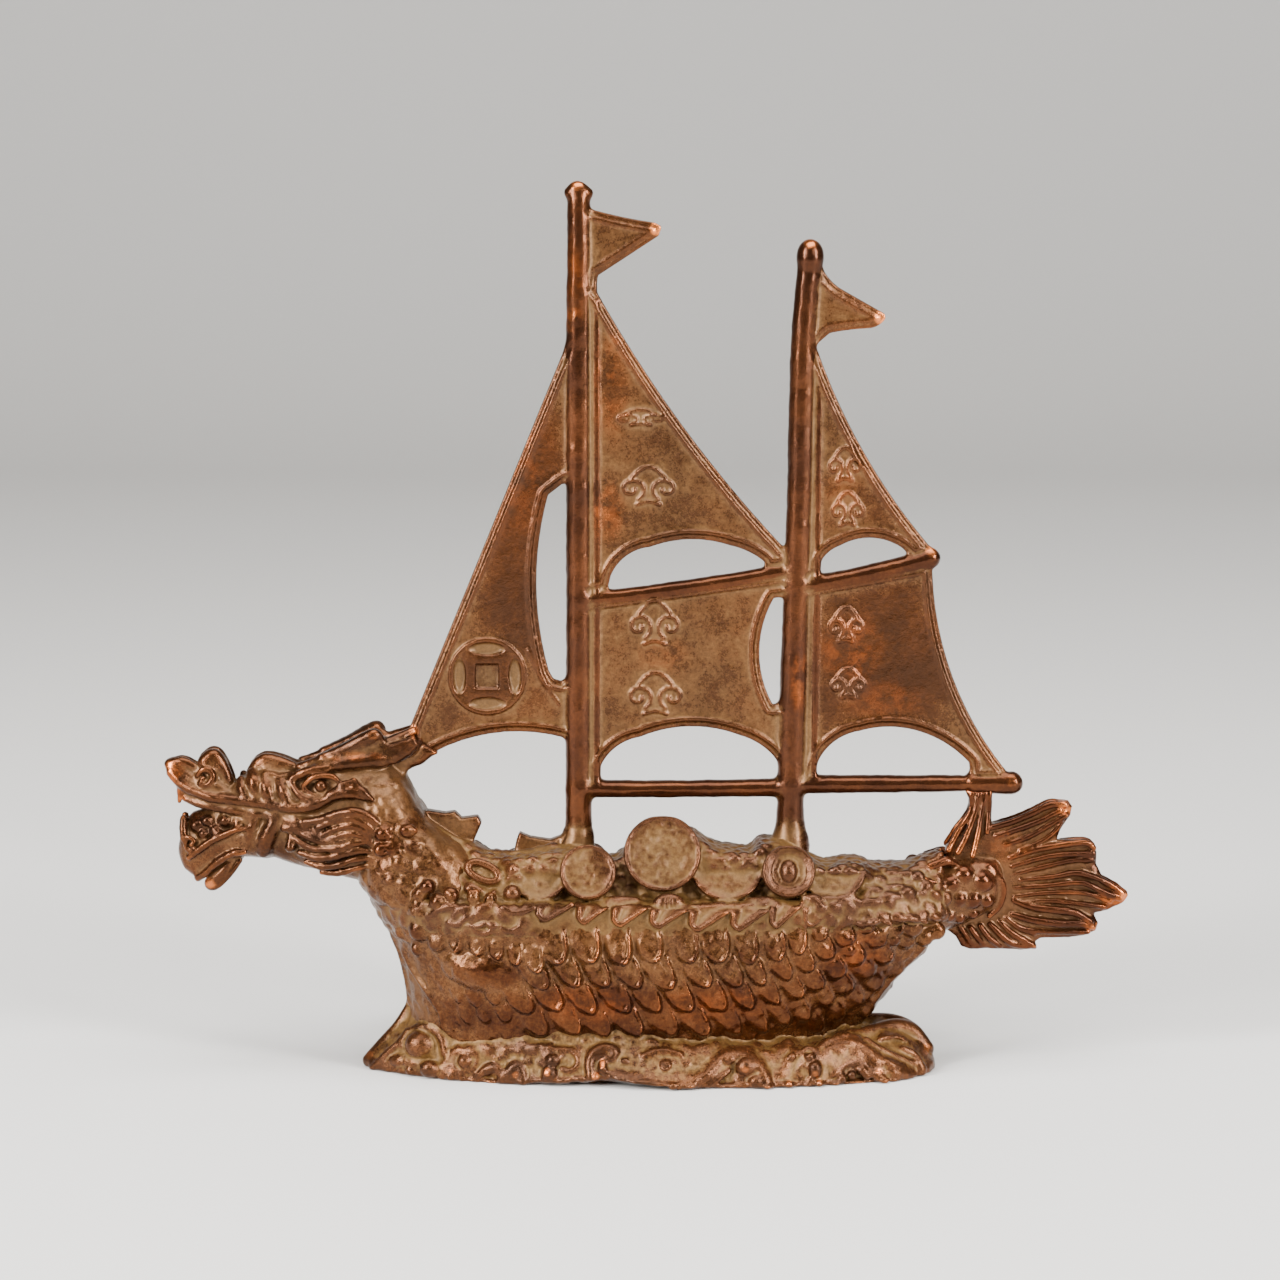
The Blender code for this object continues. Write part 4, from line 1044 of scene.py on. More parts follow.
MANE = (
    ((-44.3, 5.2, 33.8, 0.5), (-42.4, 5.6, 34.1, 0.6), (-40.4, 6.2, 34.9, 0.65), (-38.4, 6.6, 35.3, 0.7),
     (-36.6, 6.7, 35.0, 0.7), (-35.1, 6.6, 33.9, 0.6), (-34.0, 6.4, 32.1, 0.4), (-33.6, 6.2, 30.8, 0.25)),
    ((-42.7, 5.7, 33.1, 0.45), (-40.6, 6.3, 34.1, 0.5), (-38.4, 6.8, 34.5, 0.55), (-36.6, 6.9, 33.9, 0.55),
     (-35.4, 6.7, 32.7, 0.45), (-34.6, 6.5, 31.4, 0.3)),
    ((-41.9, 5.9, 32.3, 0.45), (-40.0, 6.5, 33.2, 0.5), (-38.2, 6.9, 33.6, 0.55), (-36.6, 6.9, 32.9, 0.5),
     (-35.8, 6.7, 31.7, 0.3)),
    ((-41.4, 6.0, 31.5, 0.45), (-39.5, 6.6, 32.3, 0.5), (-37.9, 6.9, 32.5, 0.5), (-36.7, 6.8, 32.0, 0.4),
     (-35.9, 6.6, 30.9, 0.25)),
    ((-45.5, 5.0, 32.5, 0.4), (-44.0, 5.5, 31.9, 0.55), (-42.5, 5.9, 31.4, 0.55), (-41.0, 6.2, 31.2, 0.5),
     (-39.4, 6.6, 31.5, 0.45), (-37.8, 6.8, 31.8, 0.35)),
    ((-44.2, 5.2, 32.8, 0.45), (-42.9, 5.6, 32.2, 0.5), (-41.6, 5.9, 31.9, 0.45), (-40.2, 6.3, 32.0, 0.4)),
    ((-46.1, 4.8, 31.8, 0.3), (-45.1, 5.3, 31.1, 0.45), (-43.5, 5.8, 30.4, 0.5), (-41.6, 6.3, 30.4, 0.5),
     (-39.8, 6.7, 30.6, 0.5), (-38.0, 6.8, 31.2, 0.5), (-36.1, 6.7, 31.4, 0.4), (-34.9, 6.5, 30.6, 0.25)),
    ((-45.1, 5.2, 29.7, 0.45), (-43.2, 5.8, 29.2, 0.55), (-41.1, 6.3, 29.3, 0.55), (-39.0, 6.6, 29.9, 0.5),
     (-36.9, 6.6, 30.3, 0.45), (-35.1, 6.4, 29.8, 0.25)),
    ((-44.3, 5.2, 28.5, 0.4), (-42.5, 5.7, 28.0, 0.5), (-40.4, 6.1, 28.2, 0.5), (-38.3, 6.3, 28.9, 0.45),
     (-36.2, 6.3, 29.2, 0.4), (-34.6, 6.1, 28.6, 0.25)),
    ((-42.3, 5.0, 27.1, 0.4), (-40.2, 5.5, 27.1, 0.5), (-38.0, 5.9, 27.7, 0.45), (-36.0, 6.0, 28.1, 0.35),
     (-34.4, 5.8, 27.5, 0.25)),
)
JAW_LINES = (
    ((-60.5, 1.2, 33.5, 0.45), (-60.6, 1.7, 32.3, 0.5), (-60.5, 2.0, 31.0, 0.5)),
    ((-59.8, 2.1, 28.5, 0.45), (-58.6, 2.6, 29.5, 0.5), (-57.0, 3.0, 30.7, 0.5), (-55.1, 3.4, 31.7, 0.5),
     (-53.5, 3.7, 32.4, 0.4), (-51.9, 3.9, 32.6, 0.3)),
    ((-58.8, 1.0, 25.5, 0.5), (-57.5, 2.0, 26.6, 0.5), (-55.9, 2.8, 28.1, 0.5), (-54.0, 3.4, 29.2, 0.5),
     (-52.4, 3.7, 29.5, 0.35)),
    ((-59.1, 2.4, 29.8, 0.3), (-59.9, 2.2, 29.5, 0.35), (-60.3, 2.1, 30.4, 0.35), (-59.8, 2.3, 31.1, 0.35),
     (-59.1, 2.5, 30.7, 0.3), (-59.5, 2.6, 30.2, 0.3)),
)
TEETH = (((-57.4, 2.1, 33.3, 0.75),), ((-56.3, 2.5, 32.1, 0.8),), ((-54.9, 2.6, 33.5, 0.8),),
         ((-53.3, 2.8, 33.2, 0.8),), ((-52.0, 3.1, 33.9, 0.7),), ((-58.9, 1.7, 32.6, 0.7),),
         ((-57.9, 2.2, 31.6, 0.6),))
BEARD = (
    ((-54.0, 0.9, 28.2, 1.0), (-55.0, 1.1, 27.0, 1.2), (-56.1, 1.1, 25.7, 1.2), (-57.0, 0.9, 24.8, 1.0)),
    ((-53.2, 1.7, 28.0, 0.35), (-54.4, 1.9, 26.4, 0.4), (-55.8, 1.7, 24.9, 0.4), (-56.6, 1.4, 24.3, 0.35)),
    ((-54.4, 2.0, 28.0, 0.3), (-55.5, 2.1, 26.6, 0.35), (-56.8, 1.8, 25.2, 0.35)),
    ((-52.2, 1.6, 29.1, 0.4), (-53.4, 1.9, 29.1, 0.5), (-54.8, 1.8, 28.5, 0.5)),
)
NECK_CURLS = ((-34.1, 7.0, 32.4), (-34.0, 7.4, 30.5), (-31.9, 7.0, 30.9), (-32.2, 7.6, 28.6),
              (-32.6, 7.8, 26.8), (-30.3, 8.0, 26.5), (-30.8, 7.6, 33.0), (-29.6, 7.0, 31.2))


# What the head's parts are melted from: the part, its cords and how softly they melt in.
FACE_CORDS = (
    ("head_skull", LIPS, 0.45),
    ("head_skull", SNOUT, 0.4),
    ("head_skull", FOLDS, 0.5),
    ("head_skull", BROWS, 0.5),
    ("head_skull", CHEEK, 0.7),
    ("forehead_crest", CREST, 0.5),
    ("nostril", NOSE, 0.45),
    ("eye", EYE, 0.25),
    ("horn", HORN, 0.4),
    ("ear", EAR, 0.4),
    ("mane", MANE, 0.2),
    ("lower_jaw", JAW_LINES, 0.3),
    ("lower_jaw", TEETH, 0.6),
    ("beard_curl", BEARD, 0.25),
)

# Eggs of the face: the middle and half sizes.
SNOUT_TOP = ((-56.5, 0.0, 40.1), (1.7, 2.4, 2.0))
CREST_BODY = ((-48.5, 0.0, 39.9), (3.2, 2.5, 1.6))
CREST_TURN = -8.0
JAW_HOLLOW = ((-57.2, 3.1, 31.8), (1.9, 1.0, 1.0))
JAW_HOLLOW_TURN = 20.0


def make_head():
    """The dragon's head with its mane, and the neck behind it."""
    field = Field(*REGIONS["head"])
    add_neck(field)
    add_hull(field)
    field.add("head_skull", loft(SKULL), 0.0)
    field.add("head_skull", loft(THROAT), 0.6)
    field.add("head_skull", plate(NAPE_WEB, 1.7, 0.9), 0.6)
    field.add("head_skull", blob(*SNOUT_TOP), 0.5)
    field.add("forehead_crest", blob(*CREST_BODY, CREST_TURN), 0.0)
    field.add("lower_jaw", loft(JAW), 0.0)
    field.carve("lower_jaw", blob(*JAW_HOLLOW, JAW_HOLLOW_TURN), 0.5)
    field.add("lower_jaw", loft(TONGUE), 0.3)
    field.add("mane", loft(MANE_BED), 0.0)
    for part, cords, blend in FACE_CORDS:
        strokes(field, part, cords, blend)
    field.add("horn", plate(HORN_BLADE, 0.7, 0.5, 2.9), 0.7)
    field.add("ear", plate(EAR_BLADE, 0.8, 0.5, 2.6), 0.8)
    rough = ("head_skull", "lower_jaw", "mane", "horn", "ear", "forehead_crest")
    grain = field.roughen(rough, (0.07, 3.0, 11), (0.05, 1.2, 12), 0.8)
    x, y, z = field.places()
    front = smooth_step(-x + 0.55 * (40.0 - z), 27.0, 30.0)
    pebbles = cobbles(x + 0.3 * y, z + 0.0 * y, 2.5, 3.0) * front
    neck_relief = 1.5 * grain + 0.35 * pebbles * smooth_step(y, 2.0, 4.0)
    field.parts["neck"] -= neck_relief.astype(np.float32)
    field.fuse(0.38)
    cast(field, "bronze_head", ("head_skull", "lower_jaw", "beard_curl", "forehead_crest"),
         ("horn", "ear", "eye", "nostril", "mane"))
    cast(field, "bronze_hull", ("neck",), share=0.25)


# Hull

# Hull by height: columns are z, bow x, stern x, half width, and the stern's share of that width.
HULL = np.array((
    (4.6, -31.0, 27.6, 8.4, 0.12), (5.6, -31.0, 28.3, 8.8, 0.12), (8.0, -31.2, 30.1, 9.8, 0.14),
    (12.3, -31.9, 33.1, 11.2, 0.18), (15.8, -32.8, 36.6, 12.0, 0.26), (19.5, -34.2, 37.6, 12.3, 0.36),
    (23.0, -35.9, 37.6, 12.1, 0.40), (26.0, -37.0, 37.6, 11.6, 0.42),
))
BOW_SHARE = 0.3
BOW_POWER = 2.2
STERN_START = 0.55
HULL_BOTTOM = 4.6
HULL_TOP = 23.2
GUNWALE_BOTTOM = 20.0
GUNWALE_TOP = 24.2

# Scale rows: columns are z of the free ends amidships, first and last middle, length, height and lean.
# The rows climb towards the stern, where the scales are smaller.
SCALE_ROWS = (
    (-0.3, 27.0, 33.0, 3.6, 0.45, 0.35), (2.8, 22.0, 34.0, 3.8, 0.55, 0.40),
    (6.0, -15.5, 36.0, 4.2, 0.70, 0.45), (9.4, -17.0, 37.0, 4.3, 0.85, 0.45),
    (12.8, -15.5, 37.0, 4.4, 0.95, 0.42), (16.0, -12.5, 34.0, 4.6, 1.00, 0.12),
)
SCALE_SPACING = ((-40.0, 4.2), (8.0, 4.2), (13.0, 3.4), (20.0, 2.7), (40.0, 2.6))
SHEER_START = 20.0
SHEER_SLOPE = 0.75
SHEER_ROUNDING = 3.0

# Scales on the bow that stand apart from the rows: columns are x and z of the free end, length, half width
# and height.
BOW_SCALES = (
    (-26.2, 17.9, 2.8, 1.0, 0.6), (-23.9, 17.4, 3.0, 1.1, 0.75), (-21.3, 17.1, 3.0, 1.15, 0.75),
    (-18.9, 16.7, 3.0, 1.1, 0.7), (-16.6, 16.0, 3.2, 1.15, 0.7), (-14.2, 15.0, 3.8, 1.5, 1.0),
    (-25.4, 10.3, 2.8, 1.2, 0.35), (-22.8, 9.9, 2.8, 1.3, 0.4), (-20.0, 10.4, 3.0, 1.3, 0.45),
    (-17.3, 10.6, 3.2, 1.3, 0.5), (-24.6, 7.6, 2.8, 1.2, 0.3), (-21.8, 7.8, 2.8, 1.3, 0.35),
    (-18.8, 8.0, 3.0, 1.3, 0.4),
)
BELLY_BULGE = ((-21.9, 14.9), (5.2, 2.8), -8.0, 0.9)

# Leaves of the frieze: left end, right end, lowest z and top z.
LEAVES = (
    (-14.2, -9.0, 22.2, 24.5), (-9.0, -4.9, 21.8, 24.1), (-4.5, 0.4, 21.5, 24.1), (0.4, 5.3, 21.3, 23.7),
    (5.4, 10.8, 20.9, 23.5), (10.8, 15.8, 20.9, 23.5), (15.8, 20.0, 21.1, 23.9), (20.2, 25.0, 21.1, 23.7),
    (25.4, 30.5, 21.6, 24.0),
)

# Knobs on the breast and along the bow's frieze: columns are x, z and radius.
BREAST_KNOBS = (
    (-34.6, 25.3, 1.2), (-33.1, 26.0, 0.9), (-31.8, 26.3, 1.1), (-32.3, 24.1, 1.25), (-34.4, 23.4, 0.8),
    (-29.4, 23.0, 1.2), (-31.2, 21.7, 1.0), (-33.2, 21.4, 0.8), (-29.4, 20.1, 1.5), (-31.9, 19.3, 0.9),
    (-27.6, 21.5, 1.0), (-27.1, 18.7, 1.3), (-25.4, 21.4, 0.9), (-29.1, 25.1, 0.9), (-27.0, 24.1, 1.0),
    (-28.2, 26.0, 0.8), (-25.3, 25.2, 0.8), (-24.4, 22.9, 0.9), (-22.3, 25.2, 0.8), (-20.2, 24.9, 0.8),
    (-21.5, 22.8, 1.0), (-21.9, 20.9, 0.8), (-23.9, 20.0, 0.8), (-18.6, 22.6, 0.9), (-29.8, 17.4, 0.9),
)
# Small arcs on the bow's frieze and the stern's shoulder: rows of (x, z, radius).
FRIEZE_LINES = (
    ((-22.6, 21.4, 0.3), (-21.6, 20.6, 0.4), (-20.4, 20.6, 0.4), (-19.6, 21.6, 0.3)),
    ((-18.8, 21.4, 0.3), (-17.8, 20.8, 0.35), (-16.4, 21.4, 0.3)),
    ((-18.6, 24.0, 0.3), (-17.4, 23.3, 0.35), (-15.8, 23.4, 0.35), (-14.4, 24.0, 0.3)),
    ((-13.6, 22.3, 0.3), (-11.8, 23.1, 0.35), (-9.7, 24.3, 0.35)),
    ((-28.2, 22.0, 0.4), (-27.0, 23.2, 0.45), (-25.4, 23.8, 0.4)),
    ((-25.6, 21.6, 0.35), (-24.4, 21.4, 0.4), (-23.4, 22.4, 0.35)),
    ((20.0, 24.2, 0.3), (20.2, 22.9, 0.35), (21.2, 21.8, 0.35), (22.6, 21.4, 0.3)),
    ((27.2, 22.9, 0.3), (28.5, 24.3, 0.35), (30.0, 25.2, 0.3)),
    ((33.8, 23.6, 0.4), (36.0, 22.8, 0.5), (37.6, 21.6, 0.4)),
)
STERN_KNOBS = (
    (32.9, 22.9, 1.0), (34.9, 22.2, 1.15), (37.0, 21.4, 1.2), (34.4, 20.2, 1.6), (29.3, 19.5, 0.8),
    (30.6, 19.7, 0.8), (32.0, 18.6, 1.0), (38.5, 21.5, 1.0), (26.2, 17.5, 0.8), (31.4, 21.6, 0.8),
    (27.6, 21.3, 0.7), (37.8, 19.2, 1.2), (36.2, 18.4, 1.2), (38.8, 23.6, 1.0),
)
STEM_LINES = (
    ((-31.9, 16.6, 0.3), (-30.6, 14.2, 0.35), (-29.0, 12.0, 0.35), (-27.0, 9.0, 0.35), (-26.6, 6.8, 0.3)),
    ((-33.4, 18.6, 0.3), (-32.4, 16.0, 0.3), (-31.6, 12.6, 0.3), (-31.2, 9.0, 0.3)),
)
STERN_LINES = (
    ((36.6, 18.6, 0.4), (36.0, 16.9, 0.45), (32.4, 13.0, 0.45), (30.2, 10.0, 0.4), (28.3, 6.8, 0.35)),
    ((34.6, 16.6, 0.25), (31.0, 12.8, 0.3), (28.6, 9.8, 0.3), (26.8, 7.0, 0.25)),
)


# Reach and half width of the bow on which lengths round it are measured.
BOW_ROUND = (20.5, 12.1)

# Heights that part the knobs of the hull from those of its frieze and of the neck.
FRIEZE_FOOT = 21.0
NECK_FOOT = 23.0
FRIEZE_HEAD = 24.0

# Spacing at which the scales have the length that their row gives.
FULL_SPACING = 4.2

# How far the scales' relief is raised over what their rows give.
SCALE_BOOST = 1.45


def hull_row(z):
    """Bow x, stern x, half width and stern share at these heights."""
    return columns(HULL, z)


def hull_side(x, z):
    """How far out the hull's side lies at a place in the side view."""
    bow, stern, width, share = hull_row(z)
    t = np.clip((x - bow) / (stern - bow), 0.0, 1.0)
    fore = np.clip(1.0 - t / BOW_SHARE, 0.0, 1.0)
    aft = np.clip((t - STERN_START) / (1.0 - STERN_START), 0.0, 1.0)
    return width * (1.0 - fore ** BOW_POWER) ** (1.0 / BOW_POWER) * (1.0 - (1.0 - share) * aft ** 2)


def hull_distance(x, y, z):
    """Signed distance to the plain hull, open at its top."""
    bow, stern, width, share = hull_row(z)
    length = stern - bow
    t = (x - bow) / length
    fore = np.clip(1.0 - t / BOW_SHARE, 0.0, None)
    b = np.abs(y) / width
    size = np.maximum((fore ** BOW_POWER + b ** BOW_POWER) ** (1.0 / BOW_POWER), 1e-4)
    slope = np.hypot((fore / size) ** (BOW_POWER - 1) / (BOW_SHARE * length),
                     (b / size) ** (BOW_POWER - 1) / width)
    front = (size - 1.0) / np.maximum(slope, 1e-3)
    aft = np.clip((t - STERN_START) / (1.0 - STERN_START), 0.0, 1.3)
    side = width * (1.0 - (1.0 - share) * aft ** 2)
    lean = width * (1.0 - share) * 2 * aft / (1.0 - STERN_START) / length
    back = (np.abs(y) - side) / np.hypot(1.0, lean)
    return smooth_max(np.where(t < BOW_SHARE, front, back), x - stern, 1.6)


def bow_arcs():
    """Angles round the bow from its side, and the length along the skin to each."""
    reach, half = BOW_ROUND
    angle = np.linspace(0.0, math.pi / 2, 60)
    forward, out = reach * np.sin(angle), half * np.cos(angle)
    size = ((forward / reach) ** BOW_POWER + (out / half) ** BOW_POWER) ** (1.0 / BOW_POWER)
    forward, out = forward / size, out / size
    steps = np.hypot(np.diff(forward), np.diff(out))
    return angle, np.concatenate([[0.0], np.cumsum(steps)])


def hull_run(x, y, z):
    """Distance along the hull's skin: x beside it, and on round the bow."""
    bow, stern, width, _ = hull_row(z)
    reach = BOW_SHARE * (stern - bow)
    join = bow + reach
    angle = np.arctan2(np.maximum(join - x, 0.0) / reach, np.abs(y) / width + 1e-6)
    return np.where(x > join, x + 0.0 * y, join - np.interp(angle, *bow_arcs()))


def tongue(run, up, tip, length, half_width, height, lean):
    """Height of one overlapping scale that hangs to its free end at tip, with a sharp edge on its right."""
    down = tip[1] - up
    along = 1.0 + down / length
    across = (run - tip[0] - lean * down) / half_width
    rounding = np.clip((along - 0.35) / 0.65, 0.0, None)
    outline = np.sqrt(across ** 2 + rounding ** 2)
    right = smooth_step(across, -0.3, 0.6)
    edge = 1.0 - smooth_step(outline, 0.6 + 0.24 * right, 1.12 - 0.06 * right)
    dome = height * (0.25 + 0.75 * np.clip(along, 0.0, 1.0)) * (1.0 - 0.6 * across ** 2)
    rim = 0.45 * height * bump(outline, 0.84, 0.2) * right
    return (dome + rim) * edge * smooth_step(along, -0.25, 0.15)


def scale_relief(run, up):
    """Height of all scales over distance along the skin and height."""
    draw = np.random.default_rng(21)
    away = run - SHEER_START
    sheer = SHEER_SLOPE * 0.5 * (away + np.sqrt(away ** 2 + SHEER_ROUNDING ** 2))
    spacing = np.array(SCALE_SPACING)
    level = up - sheer
    relief = np.zeros(np.broadcast(run, up).shape)
    for number, (tip_z, first, last, length, height, lean) in enumerate(SCALE_ROWS):
        middle = -60.0
        while middle < last:
            gap = np.interp(middle, spacing[:, 0], spacing[:, 1])
            place_x = middle + (0.5 * gap if number % 2 else 0.0)
            if first < place_x < last:
                small = (gap / FULL_SPACING) ** 0.4
                tip = (place_x + draw.uniform(-0.08, 0.08) * gap, tip_z + draw.uniform(-0.3, 0.3))
                wide = 0.48 * gap * draw.uniform(0.9, 1.08)
                tall = height * small * draw.uniform(0.8, 1.15)
                relief = np.maximum(relief, tongue(run, level, tip, length * small, wide, tall, lean))
            middle += gap
    for x, z, length, half_width, height in BOW_SCALES:
        relief = np.maximum(relief, tongue(run, up, (x, z), length, half_width, height, 0.15))
    (bulge_x, bulge_z), (half_length, half_height), turn, height = BELLY_BULGE
    cos, sin = math.cos(math.radians(turn)), math.sin(math.radians(turn))
    along = ((run - bulge_x) * cos + (up - bulge_z) * sin) / half_length
    rise = ((up - bulge_z) * cos - (run - bulge_x) * sin) / half_height
    relief = np.maximum(relief, height * np.clip(1.0 - along ** 2 - rise ** 2, 0.0, 1.0))
    bow = 1.0 - smooth_step(run, -19.0, -14.0)
    pebbles = 0.45 * cobbles(run, up, 2.2, 5.0) * bow * smooth_step(up, 17.5, 19.5)
    relief = np.maximum(SCALE_BOOST * relief, pebbles)
    return relief + 0.18 * ripple(run, up, 2.4, 31) + 0.11 * ripple(run, up, 1.0, 32)


def leaf_relief(run, up):
    """Height of the gunwale's frieze: leaves with a raised lower edge on a low band."""
    bow = 1.0 - smooth_step(run, -16.0, -13.0)
    relief = 0.2 + 0.08 * ripple(run, up, 1.8, 33) + 0.5 * bow * cobbles(run, up, 2.1, 9.0)
    for left, right, bottom, top in LEAVES:
        width = right - left
        corners = [(left + 0.1, top), (left, bottom + 0.9), (left + 0.1 * width, bottom + 0.25),
                   (left + 0.24 * width, bottom), (left + 0.5 * width, bottom + 0.35 * (top - bottom)),
                   (left + 0.75 * width, bottom + 0.68 * (top - bottom)), (right, top)]
        edge = outline_distance(corners, run, up)
        lower = line_distance(corners, run, up)
        face = 0.3 + 0.95 * (1.0 - smooth_step(lower, 0.1, 1.5))
        relief = np.maximum(relief, face * (1.0 - smooth_step(edge, -0.05, 0.3)))
    return relief


def skinned(rows, lift, side):
    """Rows of (x, z, radius) laid on a skin, lifted out of it by lift."""
    return [(x, float(side(x, z)) + lift, z, radius) for x, z, radius in rows]


def add_knobs(field, part, rows, low, high, lift):
    """Knobs of (x, z, radius) between two heights, lifted out of the hull's side by lift."""
    for x, z, radius in rows:
        if low <= z < high:
            out = float(hull_side(x, z)) + lift
            field.add(part, blob((x, out, z), (radius, 0.8 * radius, radius)), 0.35)


def add_hull(field):
    """The hull and the frieze along its gunwale."""
    run_axis = np.arange(-52.0, 42.0, 0.12)
    up_axis = field.z[(field.z > HULL_BOTTOM - 1.0) & (field.z < GUNWALE_TOP + 0.5)]
    if not len(up_axis):
        return
    first = int(np.searchsorted(field.z, up_axis[0]))
    window = (slice(None), slice(None), slice(first, first + len(up_axis)))
    x, y, z = field.places(window)
    plain = hull_distance(x, y, z)
    run = hull_run(x, y, z)
    scales = scale_relief(run_axis[:, None], up_axis[None, :])
    leaves = leaf_relief(run_axis[:, None], up_axis[None, :])
    body = np.empty(plain.shape)
    band = np.empty(plain.shape)
    for index in range(len(up_axis)):
        body[:, :, index] = plain[:, :, index] - np.interp(run[:, :, index], run_axis, scales[:, index])
        band[:, :, index] = plain[:, :, index] - np.interp(run[:, :, index], run_axis, leaves[:, index])
    body = smooth_max(body, np.maximum(HULL_BOTTOM - z, z - HULL_TOP) + 0.0 * body, 0.3)
    brim = GUNWALE_TOP + 0.4 * ripple(x, 0.0 * z, 3.0, 34) + 0.2 * ripple(x, 0.0 * z, 1.3, 35)
    band = smooth_max(band, np.maximum(GUNWALE_BOTTOM - z, z - brim) + 0.0 * band, 0.7)
    band = smooth_max(band, -(plain + 1.6), 0.3)
    field.layer("hull")[window] = body
    field.layer("gunwale")[window] = band
    for rows, lift in ((BREAST_KNOBS, -0.1), (STERN_KNOBS, 0.2)):
        add_knobs(field, "hull", rows, HULL_BOTTOM, FRIEZE_FOOT, lift)
        add_knobs(field, "gunwale", rows, FRIEZE_FOOT, FRIEZE_HEAD, lift)
    for row in FRIEZE_LINES:
        field.add("gunwale", stroke(skinned(row, 0.5, hull_side)), 0.25)
    for row in STEM_LINES + STERN_LINES:
        field.add("hull", stroke(skinned(row, 0.0, hull_side)), 0.4)


def add_neck(field):
    """The neck that rises from the bow, with small curls on it."""
    field.add("neck", loft(NECK, 2.6, 0.8, upright=True), 0.0)
    for x, y, z in NECK_CURLS:
        field.add("neck", blob((x, y, z), (0.95, 0.5, 0.75)), 0.3)
        field.carve("neck", blob((x + 0.2, y + 0.6, z - 0.1), (0.4, 0.5, 0.3)), 0.2)
    add_knobs(field, "neck", BREAST_KNOBS, NECK_FOOT, math.inf, -0.2)


def make_hull():
    """The scaled hull and the frieze along its gunwale."""
    field = Field(*REGIONS["hull"])
    add_hull(field)
    add_neck(field)
    field.fuse(0.4)
    cast(field, "bronze_hull", ("hull",))
    cast(field, "bronze_deck", pairs=("gunwale",))


# Deck

# Heap of treasure: columns are x, top z, half width at the deck and how much the side leans in.
HEAP = np.array((
    (-25.0, 30.6, 9.2, 0.8), (-22.8, 30.2, 10.4, 0.85), (-20.9, 28.9, 11.0, 0.9), (-17.5, 28.8, 10.6, 0.7),
    (-15.6, 29.1, 8.7, 0.38), (-10.0, 29.8, 8.5, 0.364), (-7.0, 29.4, 8.5, 0.364), (-5.4, 28.3, 8.5, 0.364),
    (-4.0, 28.4, 8.5, 0.364), (-2.6, 29.6, 8.5, 0.364), (0.0, 30.6, 8.5, 0.364), (3.8, 32.4, 8.5, 0.364),
    (6.0, 31.8, 8.5, 0.364), (8.0, 30.5, 8.5, 0.364), (9.6, 29.8, 8.5, 0.364), (13.4, 29.4, 8.5, 0.364),
    (14.7, 30.6, 8.5, 0.364), (17.5, 30.6, 8.5, 0.364), (21.0, 28.7, 8.5, 0.364), (23.3, 27.7, 8.5, 0.364),
    (26.1, 28.1, 8.5, 0.364), (28.0, 28.0, 9.2, 0.6), (29.4, 27.4, 9.3, 0.67), (33.8, 27.3, 8.2, 0.7),
    (36.3, 28.3, 7.0, 0.6), (38.6, 29.2, 5.8, 0.4),
))

# The height at which the heap has its half width, its lowest one, and how its top bows on each side.
HEAP_FOOT = 23.3
HEAP_FLOOR = 21.3
NEAR_CROWN = -0.06
FAR_CROWN = 0.17
HEAP_SWELL = 1.8
DECK_FLOOR = ((-36.0, 20.6, 24.2, 8.6), (-28.0, 20.6, 24.7, 10.0), (-18.0, 20.6, 24.4, 11.6),
              (0.0, 20.6, 24.2, 11.9), (14.0, 20.6, 24.2, 11.9), (24.0, 20.6, 24.4, 10.8),
              (32.0, 20.6, 25.0, 8.8), (38.0, 20.6, 25.4, 6.4))
DISC_LEAN = math.radians(20.0)
DISC_HALF = 0.62
DISC_FOOT = (8.5, 23.3)
DISC_STEP = 1.5

Disc = namedtuple("Disc", "part x z radius layer flat_top ring dish boss")
# Discs: the part, its middle and radius in the side view, its layer, how far above the middle its top is cut
# flat, the radius and depth of its dished face, and the radius of its boss.
DISCS = (
    Disc("fore_disc", -13.9, 27.2, 3.75, 0, 2.0, 3.2, 0.10, 0.0),
    Disc("small_coin", -7.6, 27.1, 3.65, 1, 3.65, 3.35, 0.16, 0.0),
    Disc("big_coin", 2.0, 29.4, 5.0, 1, 5.0, 4.7, 0.12, 0.0),
    Disc("mid_disc", 10.4, 28.2, 4.85, 0, 1.8, 4.2, 0.18, 0.0),
    Disc("ring_bead", 18.3, 27.2, 3.45, 1, 3.45, 2.5, 0.45, 1.35),
    Disc("aft_disc", 24.0, 27.9, 4.45, 0, 1.0, 3.8, 0.16, 0.0),
)
FAR_DISC_LESS = 1.3

# Cords that lie on the heap: rows of (x, y, z, radius), or of (x, z, radius) on its side.
RIDGE_CORDS = (
    ((-27.4, 2.2, 32.0, 0.5), (-25.6, 2.6, 31.1, 0.6), (-23.6, 2.8, 30.1, 0.65), (-20.9, 3.0, 29.0, 0.65),
     (-18.1, 3.0, 28.9, 0.65), (-15.3, 2.8, 29.1, 0.6), (-12.0, 1.8, 29.9, 0.5)),
    ((-26.6, 5.8, 29.4, 0.5), (-23.5, 6.8, 28.1, 0.55), (-20.3, 7.0, 27.3, 0.5)),
    ((14.9, 1.6, 29.9, 0.8), (15.8, 3.4, 29.4, 0.9), (16.2, 5.0, 28.4, 0.8)),
    ((-5.6, 10.4, 24.3, 0.5), (-3.6, 10.7, 24.4, 0.75), (-1.4, 10.4, 24.4, 0.5)),
    ((13.2, 10.2, 24.2, 0.5), (15.2, 10.4, 24.3, 0.7), (16.6, 10.4, 24.0, 0.6)),
    ((20.4, 10.2, 24.8, 0.5), (21.6, 10.3, 24.6, 0.7), (22.8, 10.0, 24.3, 0.5)),
    ((23.6, 9.6, 24.4, 0.5), (25.1, 9.8, 24.4, 0.65), (26.6, 9.4, 24.6, 0.5)),
)
